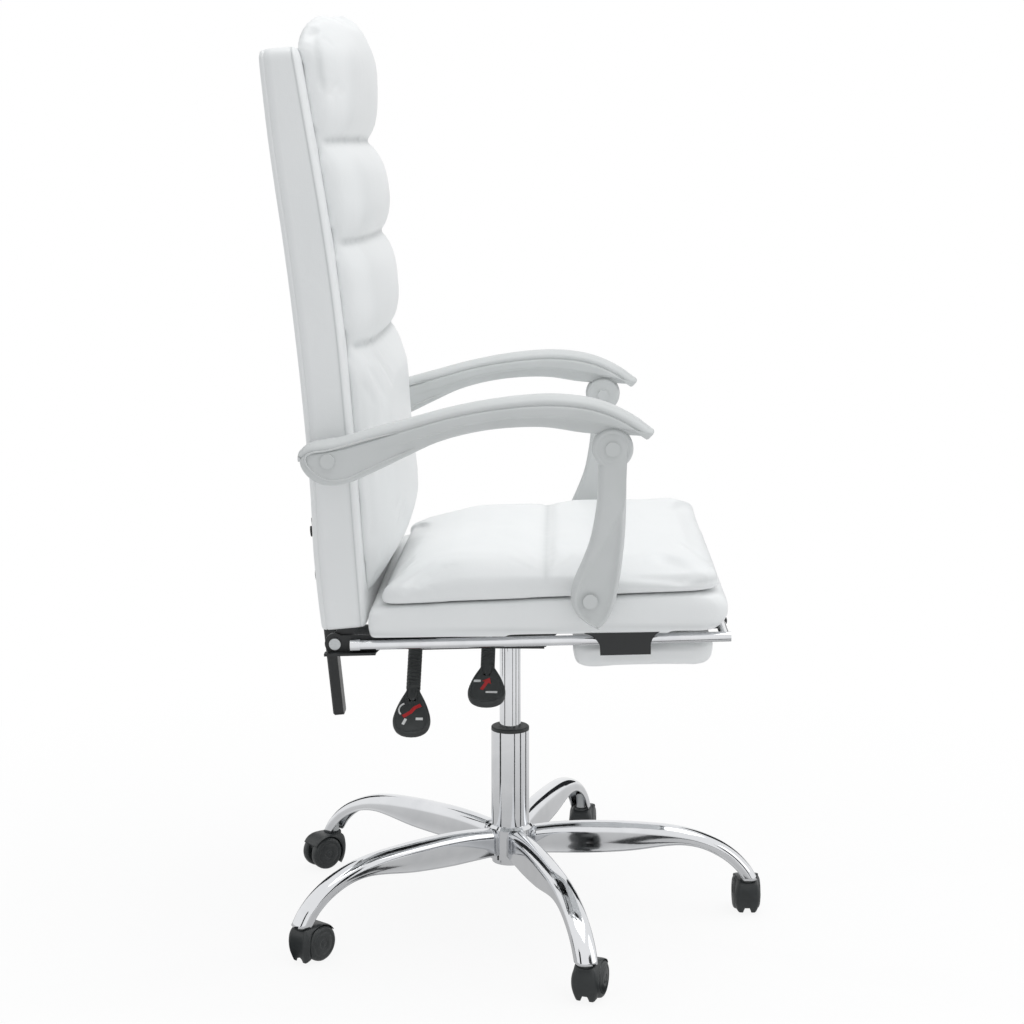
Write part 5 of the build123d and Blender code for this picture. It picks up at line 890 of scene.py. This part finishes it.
arrow = [(-8, -1.6), (2, -1.6), (2, -4.4), (8.5, 0), (2, 4.4), (2, 1.6), (-8, 1.6)]
bar = [(-3.2, -1.3), (3.2, -1.3), (3.2, 1.3), (-3.2, 1.3)]
dash = [(-1.1, -1.9), (1.1, -1.9), (1.1, 1.9), (-1.1, 1.9)]
recline = bent_strip([(-9, -5.5), (-4.5, -1.5), (1.2, 0.2), (8, 5.0)], 3.4)
swing_line = bent_strip([(7 * cos(turn), 7 * sin(turn)) for turn in np.linspace(0.4, 2.4, 9)], 1.5)
signs = {
    "lift": {
        "red": [(arrow, pi + 0.45, (35, 1.5))],
        "white": [(bar, pi / 2, (30, 12)), (dash, 0, (49, -6)), (dash, 0, (49, -10.5)), (dash, 0, (49, -1.5))],
    },
    "lock": {
        "red": [(recline, 0.35, (35, 0.5))],
        "white": [(swing_line, 0.4, (33, 6.5)), (bar, 0.4, (50, 8.5)), (bar, pi / 2, (46, -9.5))],
    },
}
for lever in LEVERS:
    grip = joined(f"{lever}_lever_sleeve_and_paddle", [shell(sleeve_rings(lever)), shell(paddle_rings(lever))])
    settle(grip, soft_pvc, "black_plastic", f"{lever}_lever", f"{lever}_lever_grip")
    for ink, shapes in signs[lever].items():
        print_piece = joined(f"{lever}_lever_sign_{ink}", [sign_shell(lever, *shape) for shape in shapes])
        for polygon in print_piece.data.polygons:
            polygon.use_smooth = False
        settle(print_piece, inks[ink], "black_plastic", f"{lever}_lever")

# Star base: pressed legs with a rounded back, hollow below
LEG_FEET = [radians(270 + 72 * index) for index in range(5)]
LEG_REACH = 316
LEG_HALF = 13.6
LEG_WALL = 2.2
leg_tops = [(28, 121), (66, 125.3), (106, 127), (160, 126), (212, 122), (246, 114.6), (278, 101), (301, 85.5)]
leg_tops += [(318, 67.5), (329, 49.4)]
leg_unders = [(28, 87), (66, 87), (106, 87.2), (160, 90.5), (206, 97), (232, 98), (256, 93), (280, 81)]
leg_unders += [(298, 66), (310, 49.4)]


def leg_rings(turn):
    """Sections of a leg from the hub to the caster: an inverted U with a round back."""
    tops = spline(leg_tops, 5)
    unders = spline(leg_unders, 5)
    out_way = np.array([cos(turn), sin(turn), 0])
    side_way = np.array([-sin(turn), cos(turn), 0])
    for top, under in zip(tops, unders):
        height = np.linalg.norm(top - under)
        up = (top - under) / height
        up = out_way * up[0] + np.array([0, 0, up[1]])
        half = LEG_HALF
        hollow = LEG_HALF - LEG_WALL
        crown = min(12.5, height * 0.55)
        wall_top = (height - crown) * 0.5
        arc = np.linspace(0, pi, 17)
        outer = [(half, 0), (half + 0.3, 1), (half, 2.4), (half, wall_top)]
        outer += [(half * np.sign(cos(a)) * abs(cos(a)) ** 0.9, height - crown + crown * sin(a) ** 0.9) for a in arc]
        outer += [(-x, rise) for x, rise in outer[3::-1]]
        inner = [(-hollow, 0), (-hollow, wall_top)]
        inner += [(-hollow * cos(a), height - crown + (crown - LEG_WALL) * sin(a)) for a in np.linspace(0, pi, 9)]
        inner += [(hollow, wall_top), (hollow, 0)]
        foot = out_way * under[0] + np.array([0, 0, under[1]])
        yield [foot + side_way * x + up * rise for x, rise in outer + inner]


star_legs = joined("star_base_legs", [shell(leg_rings(turn)) for turn in LEG_FEET])
settle(star_legs, chrome, "chrome_steel", "base", "base_legs")

# Casters: two bellied wheels under a rounded hood that reaches down in front
CASTER_HEADINGS = (0, -8, 130, -38, -17)
TRAIL = 20
AXLE_HEIGHT = 23
WHEEL_ARCH = 23.8
hood_line = [(-5.6, 2.6), (-8.2, 9), (-10.2, 17), (-11.2, 27), (-11, 36), (-9.2, 43), (-4.6, 47.2), (3, 48.6)]
hood_line += [(13, 48.9), (22, 48.3), (30, 46), (36.5, 42), (41, 36.6)]
hood_halves = [14.4, 15.8, 16.9, 17.4, 17, 16, 15.2, 15, 15.4, 16, 16.4, 16.4, 15.8]
web_line = [(-8.6, 20), (-3.4, 9), (6, 9.6), (20, 14), (32, 21), (38, 31), (37, 40.5), (30, 44.6), (20, 46.8)]
web_line += [(0, 46.8), (-8, 42)]
wheel_half = [(5.2, 4), (5.2, 19), (5.6, 21.4), (6.8, 22.6), (9, 23), (12.6, 23), (15, 22.4), (16.8, 20.9)]
wheel_half += [(17.8, 18.8), (18.1, 17), (17.6, 16.3), (17.5, 15), (18.1, 14.2), (18.6, 9), (18.6, 6.6)]
wheel_half += [(18, 6), (18, 4.4), (18.4, 3.8), (18.6, 1)]


def on_caster(index, along, across, up):
    """Chair places of points along a caster's trail, across it and above the floor."""
    way = radians(CASTER_HEADINGS[index])
    along, across, up = np.broadcast_arrays(along, across, up)
    foot = LEG_FEET[index]
    x = LEG_REACH * cos(foot) + along * cos(way) - across * sin(way)
    y = LEG_REACH * sin(foot) + along * sin(way) + across * cos(way)
    return np.stack([x, y, up], axis=-1)


def hood_rings(index):
    """Sections of the hood from its chin, over the top, to its tail."""
    line = spline(hood_line, 3)
    halves = spline(hood_halves, 3)
    axle = np.array([TRAIL, AXLE_HEIGHT])
    for outer, half in zip(line, halves):
        away = outer - axle
        inner = axle + away / np.linalg.norm(away) * WHEEL_ARCH
        across = half * np.sin(np.linspace(-1, 1, 17) * pi / 2)
        fall = 0.8 * np.clip((np.abs(across) - (half - 5)) / 5, 0, 1) ** 2
        skin = outer + (inner - outer) * fall[:, None]
        back = np.linspace(half - 0.4, -half + 0.4, 17)
        flat = np.vstack([skin, np.repeat(inner[None], 17, axis=0)])
        width = np.concatenate([across, back])
        flat[:, 1] = np.maximum(flat[:, 1], 9.5 * (1 - ease(np.abs(width), 4.6, 6)))
        yield on_caster(index, flat[:, 0], width, flat[:, 1])


def caster_turned(index, profile, side):
    """Shell turned about the axle; profile is (out from the middle, radius)."""
    ring = circle(40)
    return shell(
        on_caster(index, TRAIL + radius * ring[0], side * out, AXLE_HEIGHT + radius * ring[1])
        for out, radius in profile
    )


for index in range(5):
    web = np.array(web_line)
    web_shell = shell([on_caster(index, web[:, 0], across, web[:, 1]) for across in (-4.3, 4.3)])
    ring = circle(28)
    boss = [(5.2, 44), (10.5, 46), (10.2, 48.6), (9.4, 49.6), (8, 50.1), (5.4, 50.1)]
    boss_shell = shell(on_caster(index, radius * ring[0], radius * ring[1], up) for radius, up in boss)
    hood = joined(f"caster_hood_cover_{index + 1}", [shell(hood_rings(index)), web_shell, boss_shell])
    settle(hood, nylon, "black_nylon", f"caster_{index + 1}", f"caster_hood_{index + 1}")
    pair = [caster_turned(index, wheel_half, side) for side in (-1, 1)]
    wheels = joined(f"caster_wheel_pair_{index + 1}", pair)
    settle(wheels, nylon, "black_nylon", f"caster_wheels_{index + 1}", f"caster_wheels_{index + 1}")


# Floor and backdrop light: a white sweep that metal sees too, with painted shade near the chair in its reflections,
# and a floor that keeps a faint shadow
FLOOR_HALF = 9
floor_mesh = bpy.data.meshes.new("studio_floor")
floor_corners = [(x, y, -MM) for x, y in four_corners(FLOOR_HALF, -FLOOR_HALF, FLOOR_HALF)]
floor_mesh.from_pydata(floor_corners, [], [(0, 1, 2, 3)])
floor = bpy.data.objects.new("studio_floor", floor_mesh)
scene.collection.objects.link(floor)
sweep, tree, shader, place = new_finish("white_paper_sweep_matt", Base_Color=linear("#F4F4F4"), Roughness=0.9)
path = add_node(tree, "ShaderNodeLightPath")
reach = add_node(tree, "ShaderNodeVectorMath", {0: place}, operation="LENGTH")
fade = add_node(
    tree, "ShaderNodeMapRange",
    {"Value": reach.outputs["Value"], "From Min": 0.45, "From Max": 1.3, "To Min": 0.9, "To Max": 1},
)
seen = add_node(tree, "ShaderNodeMath", {0: path.outputs["Is Camera Ray"], 1: fade.outputs[0]}, operation="MULTIPLY")
bright = add_node(tree, "ShaderNodeEmission", {"Color": (1, 1, 1, 1), "Strength": 1})
shown = add_node(tree, "ShaderNodeMixShader", {0: seen.outputs[0], 1: shader.outputs[0], 2: bright.outputs[0]})
# Painted reflection shade: in mirrors the floor is drawn darker near the chair, from 0.55 to 0.95 bright.
painted_mirror_shade = add_node(
    tree, "ShaderNodeMapRange",
    {"Value": reach.outputs["Value"], "From Min": 0.25, "From Max": 1.2, "To Min": 0.55, "To Max": 0.95},
)
mirrored = add_node(tree, "ShaderNodeEmission", {"Color": (1, 1, 1, 1), "Strength": painted_mirror_shade.outputs[0]})
mixed = add_node(
    tree, "ShaderNodeMixShader",
    {0: path.outputs["Is Glossy Ray"], 1: shown.outputs[0], 2: mirrored.outputs[0]},
)
tree.links.new(mixed.outputs[0], tree.nodes["Material Output"].inputs["Surface"])
floor_mesh.materials.append(sweep)

world = bpy.data.worlds.new("white_studio")
world.use_nodes = True
scene.world = world
tree = world.node_tree
path = add_node(tree, "ShaderNodeLightPath")
seen = add_node(
    tree, "ShaderNodeMath",
    {0: path.outputs["Is Camera Ray"], 1: path.outputs["Is Glossy Ray"]}, operation="MAXIMUM",
)
seen_through = add_node(
    tree, "ShaderNodeMath",
    {0: seen.outputs[0], 1: path.outputs["Is Transmission Ray"]}, operation="MAXIMUM",
)
ambient = tree.nodes["Background"]
ambient.inputs["Color"].default_value = linear("#F6F8FA")
ambient.inputs["Strength"].default_value = 0.62
white = add_node(tree, "ShaderNodeBackground", {"Color": (1, 1, 1, 1), "Strength": 1})
mixed = add_node(
    tree, "ShaderNodeMixShader",
    {0: seen_through.outputs[0], 1: ambient.outputs[0], 2: white.outputs[0]},
)
tree.links.new(mixed.outputs[0], tree.nodes["World Output"].inputs["Surface"])


def softbox(name, place, aim, width, height, power):
    """Large soft lamp aimed at a point."""
    lamp = bpy.data.lights.new(name, "AREA")
    lamp.shape = "RECTANGLE"
    lamp.size = width
    lamp.size_y = height
    lamp.energy = power
    holder = bpy.data.objects.new(name, lamp)
    holder.location = place
    holder.rotation_euler = (Vector(aim) - Vector(place)).to_track_quat("-Z", "Y").to_euler()
    scene.collection.objects.link(holder)


softbox("overhead_softbox", (-0.3, -1.0, 6.2), (0, 0, 0.5), 4.6, 4.6, 158)
softbox("front_softbox", (-0.8, -3.2, 1.9), (0, 0, 0.7), 1.6, 2.2, 11)


# Dark flags: seen only in mirror reflections, they give the chrome its dark edge lines
def flag(name, corners):
    """Dark card that only mirrors see."""
    mesh = bpy.data.meshes.new(name)
    mesh.from_pydata(corners, [], [(0, 1, 2, 3)])
    card = bpy.data.objects.new(name, mesh)
    card.visible_camera = False
    card.visible_diffuse = False
    card.visible_shadow = False
    card.visible_transmission = False
    mesh.materials.append(flag_black)
    scene.collection.objects.link(card)


flag_black, tree, shader, place = new_finish("black_felt_flag", Base_Color=linear("#1A1C1E"), Roughness=1.0)
flag("flag_rear", [(-3.4, 1.5, 0), (-2.6, 2.3, 0), (-2.6, 2.3, 2.6), (-3.4, 1.5, 2.6)])
flag("flag_front", [(-2.9, -2.2, 0), (-2.2, -2.9, 0), (-2.2, -2.9, 2.4), (-2.9, -2.2, 2.4)])
flag("flag_far", [(2.4, -1.8, 0), (2.9, -1.0, 0), (2.9, -1.0, 2.2), (2.4, -1.8, 2.2)])
flag("flag_far_rear", [(2.9, 1.2, 0), (2.3, 2.1, 0), (2.3, 2.1, 2.2), (2.9, 1.2, 2.2)])

# Dark strips on the floor that only mirrors see: they draw the upright streaks on the column
STRIP_NEAR = 0.24
STRIP_FAR = 3
for number, (turn, spread) in enumerate(((120, 5), (207, 3), (246, 4), (290, 5))):
    ways = [radians(turn - spread), radians(turn + spread)]
    near = [(STRIP_NEAR * cos(way), STRIP_NEAR * sin(way), 0) for way in ways]
    far = [(STRIP_FAR * cos(way), STRIP_FAR * sin(way), 0) for way in reversed(ways)]
    flag(f"floor_strip_{number}", near + far)

# Camera where the photographer stood
lens = bpy.data.cameras.new("camera")
lens.sensor_width = 36
lens.lens = 73.6
camera = bpy.data.objects.new("camera", lens)
camera.location = (-2.670, -0.062, 1.004)
yaw = radians(1.28)
pitch = radians(9.81)
look = Vector((cos(pitch) * cos(yaw), cos(pitch) * sin(yaw), -sin(pitch)))
camera.rotation_euler = look.to_track_quat("-Z", "Y").to_euler()
scene.collection.objects.link(camera)
scene.camera = camera
scene.view_settings.view_transform = "Standard"
